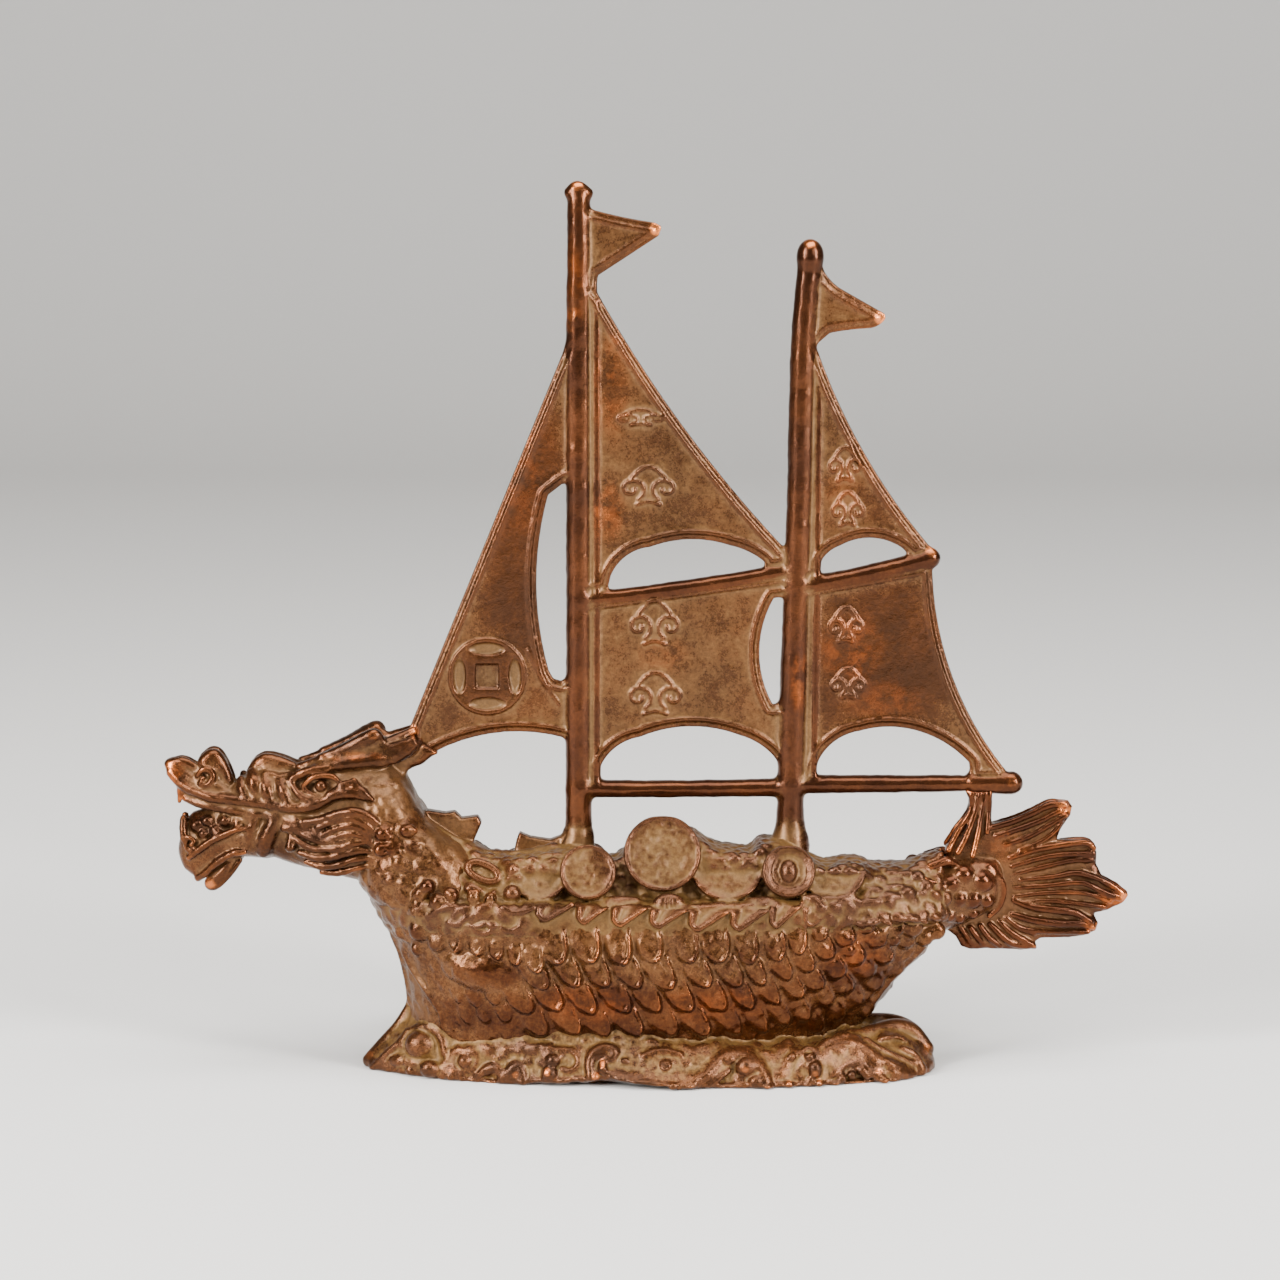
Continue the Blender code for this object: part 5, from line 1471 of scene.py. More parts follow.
SIDE_CORDS = (
    ((-19.2, 24.6, 0.4), (-17.4, 24.0, 0.5), (-15.9, 24.1, 0.5), (-14.8, 24.6, 0.4)),
    ((-14.4, 24.4, 0.4), (-13.5, 25.2, 0.5), (-12.1, 25.3, 0.5), (-11.0, 24.6, 0.45), (-12.0, 24.0, 0.45)),
    ((-24.6, 27.2, 0.5), (-23.2, 26.2, 0.6), (-21.6, 25.4, 0.5)),
    ((-22.6, 24.4, 0.4), (-21.0, 24.2, 0.5), (-19.8, 25.2, 0.4)),
    ((27.6, 24.0, 0.4), (28.6, 24.9, 0.4), (30.0, 25.4, 0.35), (30.8, 24.9, 0.35), (31.8, 25.6, 0.35),
     (33.2, 25.6, 0.3)),
    ((29.6, 24.1, 0.35), (31.4, 24.5, 0.4), (33.2, 25.0, 0.35), (34.4, 25.2, 0.3)),
    ((25.6, 25.6, 0.3), (26.8, 26.0, 0.35), (28.4, 25.6, 0.35), (30.0, 25.0, 0.3)),
)
SIDE_LUMPS = (
    (-13.0, 24.6, 0.75), (-20.3, 24.0, 0.8), (-22.8, 25.6, 0.8), (-8.9, 24.1, 0.7), (-0.2, 24.2, 0.6),
    (7.8, 24.0, 0.6), (18.8, 24.0, 0.7), (31.4, 24.4, 0.8), (33.8, 24.8, 0.9), (36.2, 25.4, 0.9),
    (35.2, 26.6, 0.8), (28.4, 23.9, 0.7),
)
RING_CHARM = (-21.2, 8.0, 27.7)
GLOSSY_BEAD = (-17.4, 10.3, 25.3)
SHELL_BEAD = (2.8, 11.2, 24.2)
FIN_PLATES = (
    ("neck_fin", ((-29.8, 33.0), (-28.8, 34.5), (-26.4, 34.1), (-25.1, 34.3), (-24.2, 33.4), (-22.1, 33.7),
                  (-21.6, 32.8), (-22.6, 30.5), (-22.9, 29.4)), 1.2),
    ("deck_fin", ((-17.5, 28.6), (-10.2, 28.6), (-10.4, 31.8), (-11.3, 31.0), (-12.7, 30.5),
                  (-15.3, 30.9), (-16.7, 31.5), (-17.1, 30.4)), 1.1),
)


# How far a disc stands off the heap, and how far its face is from its back.
DISC_GAP = 0.3
DISC_FACE = 0.6


def disc_middle(x, z, layer):
    """Where a disc that leans on the heap has its middle."""
    out = DISC_GAP + layer * DISC_STEP + DISC_FACE
    plane_y = DISC_FOOT[0] - (z - DISC_FOOT[1]) * math.tan(DISC_LEAN)
    return x, plane_y + out * math.cos(DISC_LEAN), z + out * math.sin(DISC_LEAN)


# A disc whose top is cut this far below its rim is sunk in the heap.
SUNK_BY = 1.0


def coin_shape(centre, disc, less):
    """A leaning disc with a raised rim, a dished face and perhaps a boss, smaller than drawn by less."""
    radius, flat_top, ring = disc.radius - less, disc.flat_top - less, disc.ring - less
    sunk = flat_top < radius - SUNK_BY
    reach = radius + 2.0
    low = np.array(centre) - reach
    high = np.array(centre) + reach
    cos, sin = math.cos(DISC_LEAN), math.sin(DISC_LEAN)

    def distance(x, y, z):
        out = (y - centre[1]) * cos + (z - centre[2]) * sin
        up = (z - centre[2]) * cos - (y - centre[1]) * sin
        across = x - centre[0]
        if sunk:
            out = out + 0.15 * (up + 1.5)
        away = np.sqrt(across ** 2 + up ** 2)
        half = DISC_HALF - disc.dish * (1.0 - smooth_step(away, ring - 0.5, ring))
        half = half + 0.2 * bump(away, radius - 0.25, 0.42)
        level = across + 0.0 * up
        half = half + 0.14 * ripple(level, up, 2.2, 41) + 0.07 * ripple(level, up, 0.9, 42)
        worn = cobbles(level + centre[0], up + 0.0 * across, 1.25, 8.0)
        half = half + 0.14 * (worn - 0.5) * (1.0 - smooth_step(away, ring - 0.8, ring - 0.3))
        half = np.maximum(half, 0.25)
        if sunk:
            half = half - 1.0 * smooth_step(up, flat_top - 2.6, flat_top - 0.2)
        if disc.boss:
            wide, tall = 0.85 * disc.boss, 1.15 * disc.boss
            dome = np.clip(1.0 - (across / wide) ** 2 - (up / tall) ** 2, 0.0, 1.0)
            half = half + 0.9 * np.sqrt(dome)
        edge = smooth_max(away - radius, up - flat_top, 0.5)
        return smooth_max(np.abs(out) - half, edge, 0.35)

    return Shape(distance, low, high)


def ring_shape(centre, radii, thickness, turn, lean):
    """An oval ring that leans back by lean."""
    reach = max(radii) + thickness + SHAPE_MARGIN
    low = np.array(centre) - reach
    high = np.array(centre) + reach
    cos, sin = math.cos(math.radians(turn)), math.sin(math.radians(turn))
    lean_cos, lean_sin = math.cos(math.radians(lean)), math.sin(math.radians(lean))

    def distance(x, y, z):
        out = (y - centre[1]) * lean_cos + (z - centre[2]) * lean_sin
        up = (z - centre[2]) * lean_cos - (y - centre[1]) * lean_sin
        along = (x - centre[0]) * cos + up * sin
        across = up * cos - (x - centre[0]) * sin
        away = rounded_section(along, across, radii[0], radii[1], 2.0)
        return np.sqrt(away ** 2 + out ** 2) - thickness

    return Shape(distance, low, high)


def heap_side(x, z):
    """How far out the heap's side lies."""
    foot, lean = (np.interp(x, HEAP[:, 0], HEAP[:, column]) for column in (2, 3))
    return foot - (z - HEAP_FOOT) * lean


def add_heap(field, crown):
    """The mound of treasure, whose top falls by crown towards the side, and the deck's floor under it."""
    field.add("treasure_heap", loft(DECK_FLOOR, 6.0, 0.8), 0.0)
    start, stop = HEAP[0, 0], HEAP[-1, 0]
    window = field.window((start - 2.0, -20.0, 20.0), (stop + 2.0, 20.0, 34.0))
    x, y, z = field.places(window)
    crest, _, lean = columns(HEAP, x)
    swell = 0.0
    for disc in DISCS:
        if disc.flat_top < disc.radius - SUNK_BY:
            beside = smooth_step(disc.radius + 2.0 - np.abs(x - disc.x), 0.0, 2.4)
            beside = beside * smooth_step(z, disc.z - 2.2, disc.z + disc.flat_top - 1.0)
            swell = np.maximum(swell, beside)
    side = (np.abs(y) - heap_side(x, z) - HEAP_SWELL * swell) / np.hypot(1.0, lean)
    top = z + crown * np.abs(y) - crest
    body = smooth_max(side, top + 0.0 * side, 1.2)
    ends = np.maximum(start - x, x - stop)
    body = smooth_max(body, np.maximum(ends, HEAP_FLOOR - z) + 0.0 * body, 0.8)
    layer = field.parts["treasure_heap"]
    layer[window] = smooth_min(layer[window], body, 0.3)


# The ring charm's half sizes, thickness, turn and lean, and how much it drops where the discs are smaller.
CHARM_RING = ((2.1, 1.05), 0.55, -25.0, 25.0)
CHARM_DROP = 1.5
GLOSSY_SIZE = (1.2, 1.1, 1.2)
SHELL_SIZE = (2.1, 1.1, 1.35)

# Grooves of the shell: how far apart, how far out and up from its middle, and their radius, from top to foot.
SHELL_GROOVE = ((0.55, 0.5, 1.4, 0.16), (0.62, 1.15, 0.2, 0.2), (0.5, 0.8, -1.0, 0.16))


def deck_field(disc_less, top_layer, crown, cords):
    """One half of the deck, with cords on the heap, which falls outwards by crown.

    Its discs are smaller by disc_less and lie no higher than top_layer."""
    field = Field(*REGIONS["deck"])
    add_heap(field, crown)
    x, y, z = field.places()
    relief = 0.24 * ripple(x + 0.4 * y, z + 0.5 * y, 4.2, 43)
    relief = relief + 0.12 * ripple(x - 0.5 * y, z + 0.6 * y, 1.7, 44)
    relief = relief + 0.4 * cobbles(x + 0.0 * y, z - y, 2.0, 7.0) - 0.15
    field.parts["treasure_heap"] -= relief.astype(np.float32)
    strokes(field, "treasure_heap", cords, 1.0)
    for row in SIDE_CORDS:
        field.add("treasure_heap", stroke(skinned(row, 0.15, heap_side)), 0.4)
    for lump_x, lump_z, radius in SIDE_LUMPS:
        middle = (lump_x, float(heap_side(lump_x, lump_z)) + 0.2, lump_z)
        field.add("treasure_heap", blob(middle, (1.2 * radius, radius, radius)), 0.35)
    charm_x, charm_y, charm_z = RING_CHARM
    charm = (charm_x, charm_y, charm_z - CHARM_DROP * disc_less)
    field.add("treasure_heap", ring_shape(charm, *CHARM_RING), 0.2)
    field.add("treasure_heap", blob(GLOSSY_BEAD, GLOSSY_SIZE), 0.15)
    field.add("treasure_heap", blob(SHELL_BEAD, SHELL_SIZE), 0.25)
    shell_x, shell_y, shell_z = SHELL_BEAD
    for step in range(-3, 4):
        groove = [(shell_x + apart * step, shell_y + out, shell_z + up, radius)
                  for apart, out, up, radius in SHELL_GROOVE]
        field.carve("treasure_heap", stroke(groove), 0.12)
    for disc in DISCS:
        middle_z = disc.z - disc_less * math.cos(DISC_LEAN)
        middle = disc_middle(disc.x, middle_z, min(disc.layer, top_layer))
        field.add(disc.part, coin_shape(middle, disc, disc_less), 0.0)
    for part, corners, half in FIN_PLATES:
        field.add(part, plate(corners, half, 0.5), 0.0)
    add_masts(field)
    add_neck(field)
    add_hull(field)
    field.fuse(0.3)
    return field


def make_deck():
    """Treasure heaped along the deck, the discs that lean on it, and the fins ahead of it."""
    field = deck_field(0.0, 1, NEAR_CROWN, RIDGE_CORDS)
    far_field = deck_field(FAR_DISC_LESS, 0, FAR_CROWN, RIDGE_CORDS[2:])
    cast(field, "bronze_deck", ("treasure_heap",), [disc.part for disc in DISCS], far_field, 0.33)
    cast(field, "bronze_hull", ("neck_fin", "deck_fin"), far_field=far_field)


# Tail

TAIL_ROOT = ((34.6, 17.6, 27.0, 5.4), (37.9, 18.0, 27.4, 4.9), (40.5, 19.0, 28.2, 4.4),
             (43.0, 20.1, 28.5, 3.8), (45.5, 21.4, 28.2, 3.0), (46.6, 22.4, 27.4, 1.8))
TAIL_FAN = ((39.3, 29.6), (43.0, 31.4), (45.1, 32.6), (47.6, 33.0), (50.2, 34.1), (53.8, 35.6), (55.1, 35.7),
            (55.7, 34.9), (55.4, 33.7), (54.1, 31.7), (53.7, 30.5), (57.4, 30.4), (58.6, 29.8), (59.0, 28.8),
            (58.9, 27.3), (59.7, 25.7), (61.6, 24.8), (63.0, 23.6), (63.2, 23.0), (62.4, 21.9), (60.6, 21.1),
            (58.7, 20.6), (59.3, 19.3), (59.0, 18.3), (57.7, 17.7), (55.6, 17.4), (51.7, 17.4), (51.0, 16.9),
            (51.3, 15.9), (49.1, 15.8), (46.8, 15.9), (44.5, 16.0), (42.5, 15.9), (41.3, 16.3), (40.5, 17.7),
            (39.2, 18.6))
TAIL_STAY = ((38.9, 28.6), (39.3, 29.6), (41.4, 32.2), (42.1, 33.7), (42.2, 35.7), (41.6, 37.2),
             (45.2, 37.2), (45.1, 32.8), (46.2, 30.0))
FAN_RAYS = (
    ((44.9, 1.0, 32.2, 0.4), (47.5, 0.9, 32.9, 0.45), (50.4, 0.9, 34.1, 0.45), (52.7, 0.8, 35.2, 0.5),
     (54.7, 0.7, 35.2, 0.45)),
    ((45.7, 1.1, 31.1, 0.35), (48.1, 1.1, 31.9, 0.4), (51.1, 1.0, 33.0, 0.4), (54.0, 0.8, 34.4, 0.4)),
    ((46.9, 1.1, 29.9, 0.3), (50.1, 1.1, 31.1, 0.35), (52.7, 1.0, 32.6, 0.35), (54.8, 0.8, 33.8, 0.35)),
    ((48.8, 1.1, 29.2, 0.3), (51.4, 1.1, 30.3, 0.35), (53.3, 1.0, 31.6, 0.3), (54.3, 0.8, 32.9, 0.25)),
    ((47.5, 1.2, 28.2, 0.3), (50.8, 1.3, 29.3, 0.4), (54.0, 1.2, 29.9, 0.45), (57.3, 1.0, 30.2, 0.45),
     (58.5, 0.9, 29.5, 0.4)),
    ((47.8, 1.2, 27.1, 0.3), (51.4, 1.3, 28.2, 0.4), (54.7, 1.2, 28.7, 0.4), (58.5, 0.9, 28.7, 0.4)),
    ((48.2, 1.2, 26.1, 0.25), (52.1, 1.2, 27.1, 0.35), (55.4, 1.1, 27.8, 0.35), (58.3, 0.9, 27.9, 0.4)),
    ((48.9, 1.2, 25.3, 0.25), (53.0, 1.3, 25.7, 0.35), (56.1, 1.2, 26.2, 0.4), (58.7, 1.1, 25.6, 0.4),
     (61.0, 0.9, 24.4, 0.45), (62.3, 0.7, 23.4, 0.5)),
    ((48.2, 1.2, 24.2, 0.25), (52.8, 1.3, 24.6, 0.35), (57.0, 1.3, 24.9, 0.4), (59.9, 1.1, 23.6, 0.45),
     (62.0, 0.8, 22.8, 0.5)),
    ((48.2, 1.2, 23.1, 0.25), (52.8, 1.3, 23.6, 0.35), (57.4, 1.2, 23.5, 0.35), (60.7, 0.9, 22.4, 0.4)),
    ((48.6, 1.2, 22.3, 0.25), (52.8, 1.2, 22.5, 0.35), (57.4, 1.1, 22.0, 0.35), (60.0, 0.8, 21.6, 0.35)),
    ((48.1, 1.2, 22.5, 0.35), (50.5, 1.4, 21.7, 0.45), (53.5, 1.4, 21.3, 0.55), (56.1, 1.2, 20.9, 0.5),
     (58.3, 0.9, 19.6, 0.4)),
    ((47.9, 1.2, 20.7, 0.4), (50.5, 1.4, 20.0, 0.5), (53.9, 1.3, 19.5, 0.55), (56.8, 1.1, 19.4, 0.5),
     (58.6, 0.8, 18.9, 0.4)),
    ((48.7, 1.1, 19.0, 0.3), (51.6, 1.1, 18.4, 0.35), (54.9, 1.0, 18.3, 0.35), (57.9, 0.7, 18.2, 0.35)),
    ((47.1, 1.2, 20.2, 0.35), (48.7, 1.2, 19.0, 0.45), (50.8, 1.0, 18.1, 0.35)),
    ((46.3, 1.2, 19.7, 0.35), (47.9, 1.3, 18.2, 0.45), (49.5, 1.1, 17.2, 0.45), (50.8, 0.9, 16.4, 0.35)),
    ((45.0, 1.3, 19.4, 0.35), (46.3, 1.3, 18.1, 0.5), (47.9, 1.1, 16.8, 0.5), (50.1, 0.9, 16.3, 0.35)),
    ((43.7, 1.4, 19.2, 0.35), (44.8, 1.3, 17.7, 0.45), (46.4, 1.0, 16.4, 0.35)),
    ((42.4, 1.4, 19.0, 0.35), (43.3, 1.3, 17.7, 0.45), (44.3, 0.9, 16.5, 0.3)),
    ((41.1, 1.3, 19.1, 0.35), (41.9, 1.2, 17.8, 0.4), (42.8, 0.9, 16.5, 0.3)),
)
HUB_CORDS = (
    ((44.6, 2.2, 27.3, 0.45), (46.0, 2.0, 25.8, 0.5), (46.6, 1.8, 24.0, 0.55), (46.1, 1.6, 21.9, 0.5),
     (44.9, 1.6, 20.6, 0.4)),
    ((36.2, 5.2, 26.0, 0.5), (37.9, 4.7, 25.4, 0.6), (39.5, 4.2, 24.3, 0.5)),
    ((36.9, 4.0, 27.6, 0.6), (38.9, 3.4, 28.2, 0.7), (40.2, 3.0, 27.8, 0.5)),
)
# Lumps on the tail's root: columns are x, y, z and radius.
HUB_LUMPS = (
    (43.7, 2.7, 25.4, 1.6), (41.3, 3.0, 26.3, 1.4), (39.6, 3.6, 25.2, 1.3), (42.5, 3.2, 23.1, 1.3),
    (40.7, 3.7, 23.3, 1.1), (44.4, 2.8, 22.9, 1.0), (36.9, 4.7, 21.9, 0.9), (38.2, 4.5, 22.3, 0.85),
    (39.5, 3.9, 21.1, 0.85), (40.8, 3.3, 20.7, 0.8), (42.6, 3.0, 21.2, 0.7), (37.6, 4.9, 23.6, 0.8),
)
STAY_CORDS = (
    ((42.5, 0.9, 36.8, 0.3), (42.2, 1.0, 34.2, 0.35), (40.6, 1.6, 31.7, 0.4), (39.4, 2.4, 29.5, 0.4)),
    ((43.5, 0.9, 36.7, 0.35), (42.8, 1.1, 33.9, 0.4), (41.7, 1.8, 31.2, 0.45), (40.6, 2.4, 29.2, 0.4)),
    ((44.2, 0.9, 36.7, 0.3), (43.7, 1.1, 33.9, 0.35), (43.1, 1.8, 31.0, 0.4), (42.5, 2.4, 28.7, 0.35)),
    ((44.8, 0.8, 36.8, 0.3), (44.7, 0.9, 34.3, 0.3), (44.5, 1.4, 31.7, 0.35)),
)


# Half thickness of the fan, how much its middle adds and its edge takes, and where it spreads from.
FAN_HALF = 0.55
FAN_MIDDLE = 0.65
FAN_EDGE = 0.25
FAN_FROM = (44.2, 24.0)


def make_tail():
    """The tail's root, its fan of rays, and the stay that rises to the boom."""
    field = Field(*REGIONS["tail"])
    field.add("tail_root", loft(TAIL_ROOT), 0.0)
    x, z = field.x[:, None], field.z[None, :]
    edge = outline_distance(TAIL_FAN, x, z)
    reach = np.hypot(x - FAN_FROM[0], z - FAN_FROM[1])
    half = FAN_HALF + FAN_MIDDLE * (1.0 - smooth_step(reach, 4.0, 19.0))
    half = (half - FAN_EDGE * (1.0 - smooth_step(-edge, 0.0, 1.0)))[:, None, :]
    y = field.y[None, :, None]
    fan = smooth_max(y - half, edge[:, None, :] + 0.0 * y, 0.3)
    field.parts["tail_fan"] = fan.astype(np.float32)
    field.add("tail_stay", plate(TAIL_STAY, 0.9, 0.4), 0.0)
    strokes(field, "tail_fan", FAN_RAYS, 0.2)
    strokes(field, "tail_root", HUB_CORDS, 0.4)
    for x0, y0, z0, radius in HUB_LUMPS:
        field.add("tail_root", blob((x0, y0, z0), (1.05 * radius, radius, radius)), 0.35)
    strokes(field, "tail_stay", STAY_CORDS, 0.2)
    parts = ("tail_root", "tail_fan", "tail_stay")
    field.roughen(parts, (0.05, 1.8, 51), (0.03, 0.9, 52), 0.7)
    add_hull(field)
    field.fuse(0.3)
    cast(field, "bronze_tail", parts)


# Base

# Base by height: columns are z, front x, back x, half width and how full the bow half is.
BASE = ((-0.8, -37.5, 38.1, 12.7, 1.6), (0.0, -37.4, 38.0, 12.6, 1.6), (1.2, -37.0, 37.8, 12.4, 1.6),
        (3.2, -35.2, 36.2, 11.2, 1.8), (5.3, -32.9, 33.2, 9.9, 2.1), (7.2, -31.4, 30.6, 9.7, 2.3),
        (9.0, -31.0, 29.6, 9.7, 2.3))
STERN_POWER = 2.4
# The waves are drawn as seen from a little above, on an upright sheet, and land on the skirt below it.
SHEET_AT = 14.2
SHEET_SLOPE = 0.24
# Where the waves end against the hull, and the thin lip along the base's rim: rows of (x, z).
BASE_TOP = ((-40.0, 6.0), (-37.0, 6.4), (-35.0, 7.6), (-33.0, 9.0), (-31.0, 9.8), (-29.0, 8.4),
            (-26.6, 7.4), (-22.8, 6.5), (-18.9, 7.0), (-15.1, 7.2), (-11.2, 7.6), (-7.3, 7.4), (-3.5, 7.6),
            (0.4, 6.9), (4.3, 6.3), (8.1, 6.4), (12.0, 6.2), (15.8, 5.6), (18.4, 6.4), (21.3, 5.6),
            (26.1, 7.6), (29.4, 7.2), (31.5, 8.6), (33.0, 9.4), (35.0, 9.0), (36.8, 7.4), (41.0, 5.0))
BASE_LIP = ((-40.0, 1.6), (-20.0, 1.3), (-6.0, 1.9), (0.4, 1.3), (5.5, 1.0), (12.0, 0.9), (20.0, 1.1),
            (24.0, 1.2), (33.0, 1.6), (41.0, 1.9))

# Wave crests: points of (x, z), how far they slope above and below, and their height.
CRESTS = (
    (((21.8, 5.3), (23.7, 6.7), (26.1, 7.3), (27.9, 6.9), (29.2, 5.8), (30.6, 4.9), (32.4, 4.0),
      (34.6, 3.0)),
     1.0, 4.2, 1.0),
    (((5.0, 0.8), (7.4, 2.5), (9.1, 4.1), (10.3, 5.1), (12.2, 5.3), (13.6, 4.4), (15.0, 2.6), (15.7, 0.8)),
     1.4, 1.3, 0.8),
    (((-23.3, 6.0), (-20.9, 6.4), (-18.3, 6.6), (-15.1, 6.4), (-12.5, 6.2)), 0.9, 3.6, 0.6),
    (((-34.6, 4.2), (-32.4, 4.8), (-30.0, 4.2), (-28.0, 3.4)), 0.8, 2.2, 0.6),
    (((-6.2, 2.7), (-3.8, 2.0), (-1.2, 1.5), (0.8, 1.2), (3.4, 1.2), (5.4, 1.6)), 1.8, 0.5, 0.7),
    (((16.6, 2.0), (18.2, 4.0), (19.2, 5.2), (20.6, 5.8)), 1.0, 1.4, 0.35),
    (((30.6, 7.4), (32.6, 7.8), (34.6, 7.0), (36.2, 5.6)), 0.8, 0.9, 0.6),
)
# Hollows: the outline, and how deep it goes.
HOLLOWS = (
    (((24.6, 0.8), (25.8, 2.4), (27.6, 3.2), (29.6, 2.8), (31.2, 1.2)), 0.7),
    (((7.8, 0.6), (9.6, 2.9), (10.6, 3.8), (11.5, 3.0), (11.6, 0.6)), 0.5),
    (((-6.9, 2.1), (-5.9, 2.2), (-3.6, 1.5), (-1.2, 0.9), (0.3, 0.5), (0.3, -0.6), (-6.9, -0.6)), 0.6),
    (((-7.1, 2.0), (-7.0, 4.4), (-6.3, 5.0), (-6.2, 2.8)), 0.7),
    (((-21.3, 1.6), (-20.0, 2.6), (-19.4, 1.2)), 0.6),
    (((-18.0, 1.4), (-17.2, 2.6), (-16.8, 1.0)), 0.6),
    (((31.4, 6.6), (32.9, 7.2), (34.2, 6.6), (32.9, 6.2)), 0.6),
    (((29.5, 6.3), (30.7, 5.6), (32.6, 5.0), (30.7, 5.0)), 0.5),
)
# Flat eye of a wave: middle, half sizes and boss radius.
WAVE_EYE = ((2.4, 3.7), (3.0, 1.7), 1.0)

# Cords and curls on the base's skirt: rows of (x, z, radius).
WAVE_LINES = (
    ((21.8, 5.4, 0.2), (23.7, 6.8, 0.22), (26.1, 7.5, 0.22), (27.4, 7.1, 0.2)),
    ((22.6, 4.7, 0.2), (24.4, 6.0, 0.22), (26.4, 6.5, 0.22), (28.2, 6.0, 0.22), (29.4, 5.0, 0.2)),
    ((23.0, 3.7, 0.2), (24.9, 5.2, 0.22), (26.9, 5.7, 0.22), (28.7, 5.1, 0.22), (30.2, 4.3, 0.2)),
    ((24.0, 3.3, 0.18), (25.7, 4.5, 0.2), (27.5, 4.9, 0.2), (29.3, 4.4, 0.2), (31.4, 3.6, 0.18)),
    ((24.2, 2.4, 0.18), (25.9, 3.7, 0.2), (27.7, 4.1, 0.2), (29.5, 3.7, 0.18)),
    ((33.6, 5.7, 0.3), (34.9, 5.0, 0.35), (35.6, 3.7, 0.4), (35.9, 2.6, 0.35)),
    ((28.6, 7.0, 0.25), (30.0, 5.9, 0.3), (32.4, 4.7, 0.3), (34.6, 3.9, 0.25)),
    ((31.4, 2.9, 0.2), (33.2, 2.4, 0.25), (34.8, 1.9, 0.2)),
    ((6.6, 1.0, 0.2), (8.2, 2.2, 0.22), (9.6, 3.4, 0.2)),
    ((8.0, 0.9, 0.2), (9.4, 1.9, 0.22), (10.6, 2.9, 0.2)),
    ((13.4, 4.6, 0.35), (14.6, 3.2, 0.4), (15.4, 1.6, 0.35)),
    ((10.3, 4.0, 0.25), (10.7, 4.8, 0.3), (11.6, 4.6, 0.3)),
    ((20.2, 5.0, 0.25), (20.8, 5.7, 0.3), (21.6, 5.4, 0.3), (21.9, 4.6, 0.3)),
    ((-22.0, 2.2, 0.25), (-20.9, 3.0, 0.35), (-19.6, 3.3, 0.35), (-18.9, 2.4, 0.3), (-19.0, 1.5, 0.25)),
    ((-18.5, 1.9, 0.25), (-17.6, 3.0, 0.4), (-16.8, 3.4, 0.4), (-16.2, 2.4, 0.35), (-16.1, 1.2, 0.3)),
    ((-17.9, 1.4, 0.2), (-17.3, 2.3, 0.25), (-16.9, 1.7, 0.2)),
    ((-26.7, 1.7, 0.25), (-26.2, 2.8, 0.3), (-25.3, 3.2, 0.35), (-24.5, 2.7, 0.3), (-24.1, 1.7, 0.25)),
    ((-25.1, 4.2, 0.22), (-24.6, 5.2, 0.22), (-23.5, 5.6, 0.22), (-22.4, 5.1, 0.22), (-22.1, 4.2, 0.22),
     (-22.6, 3.2, 0.22), (-23.8, 2.9, 0.22)),
    ((-27.2, 3.0, 0.22), (-25.9, 4.4, 0.22), (-24.6, 5.8, 0.22)),
    ((-7.3, 2.2, 0.35), (-7.4, 4.0, 0.4), (-6.7, 5.3, 0.4), (-5.4, 5.9, 0.4), (-4.3, 5.4, 0.4),
     (-4.4, 4.6, 0.3)),
    ((-6.3, 4.8, 0.25), (-5.6, 4.9, 0.3), (-5.0, 4.3, 0.25)),
    ((-13.4, 3.9, 0.2), (-13.0, 5.0, 0.25), (-12.1, 5.4, 0.25), (-11.2, 5.0, 0.2)),
    ((-11.4, 4.4, 0.2), (-10.9, 5.3, 0.2), (-9.9, 5.5, 0.2), (-9.0, 4.7, 0.2), (-9.0, 3.6, 0.2),
     (-9.9, 2.9, 0.2),
     (-11.0, 3.1, 0.2)),
    ((-0.4, 4.9, 0.18), (1.0, 5.4, 0.2), (2.6, 5.5, 0.2), (4.4, 5.0, 0.18)),
    ((-36.2, 3.0, 0.25), (-34.2, 5.0, 0.3), (-32.4, 6.6, 0.3), (-31.4, 8.0, 0.3)),
    ((-31.9, 6.2, 0.25), (-31.0, 8.0, 0.3), (-29.4, 8.7, 0.3), (-27.6, 8.2, 0.3), (-26.6, 6.8, 0.3),
     (-26.4, 5.2, 0.25)),
)
WAVE_KNOBS = ((-29.5, 6.2, 1.9), (-28.4, 3.2, 1.1), (-30.9, 2.9, 0.6), (-23.7, 4.2, 0.85), (-25.5, 2.1, 0.7),
              (-12.2, 4.3, 0.85), (-12.6, 2.5, 0.95), (-5.7, 3.8, 0.5), (-5.7, 3.2, 0.5), (-2.9, 4.2, 0.4),
              (3.3, 1.0, 0.45), (4.2, 0.9, 0.4), (10.8, 4.4, 0.5), (12.9, 3.3, 1.3), (14.1, 1.4, 0.9),
              (18.4, 1.1, 0.5), (18.8, 4.8, 0.5), (21.1, 4.9, 0.55), (21.8, 3.5, 0.75), (21.8, 2.8, 0.7),
              (21.2, 1.6, 0.45), (22.3, 1.2, 0.45), (26.6, 2.3, 0.5), (28.0, 2.9, 0.6), (28.6, 2.2, 0.5),
              (29.3, 2.6, 0.55), (30.1, 2.1, 0.6), (30.9, 1.7, 0.55), (25.4, 1.8, 0.45), (36.1, 3.2, 0.5))
# How much thicker the base's cords are than drawn, and how deep its larger knobs sink.
CORD_SWELL = 1.8
KNOB_SINK = 0.4
# Ridges in the middle plane at the two ends: rows of (x, y, z, radius).
END_RIDGES = (
    ((-36.9, 0.0, 0.9, 0.6), (-34.7, 0.0, 3.2, 0.8), (-32.7, 0.0, 5.3, 0.9), (-31.4, 0.0, 7.5, 0.8),
     (-30.9, 0.0, 9.2, 0.5)),
    ((27.4, 4.6, 5.0, 0.9), (30.0, 3.0, 5.5, 1.0), (32.8, 1.2, 5.6, 1.1), (35.0, 0.0, 4.6, 1.2),
     (36.8, 0.0, 2.4, 1.1)),
)


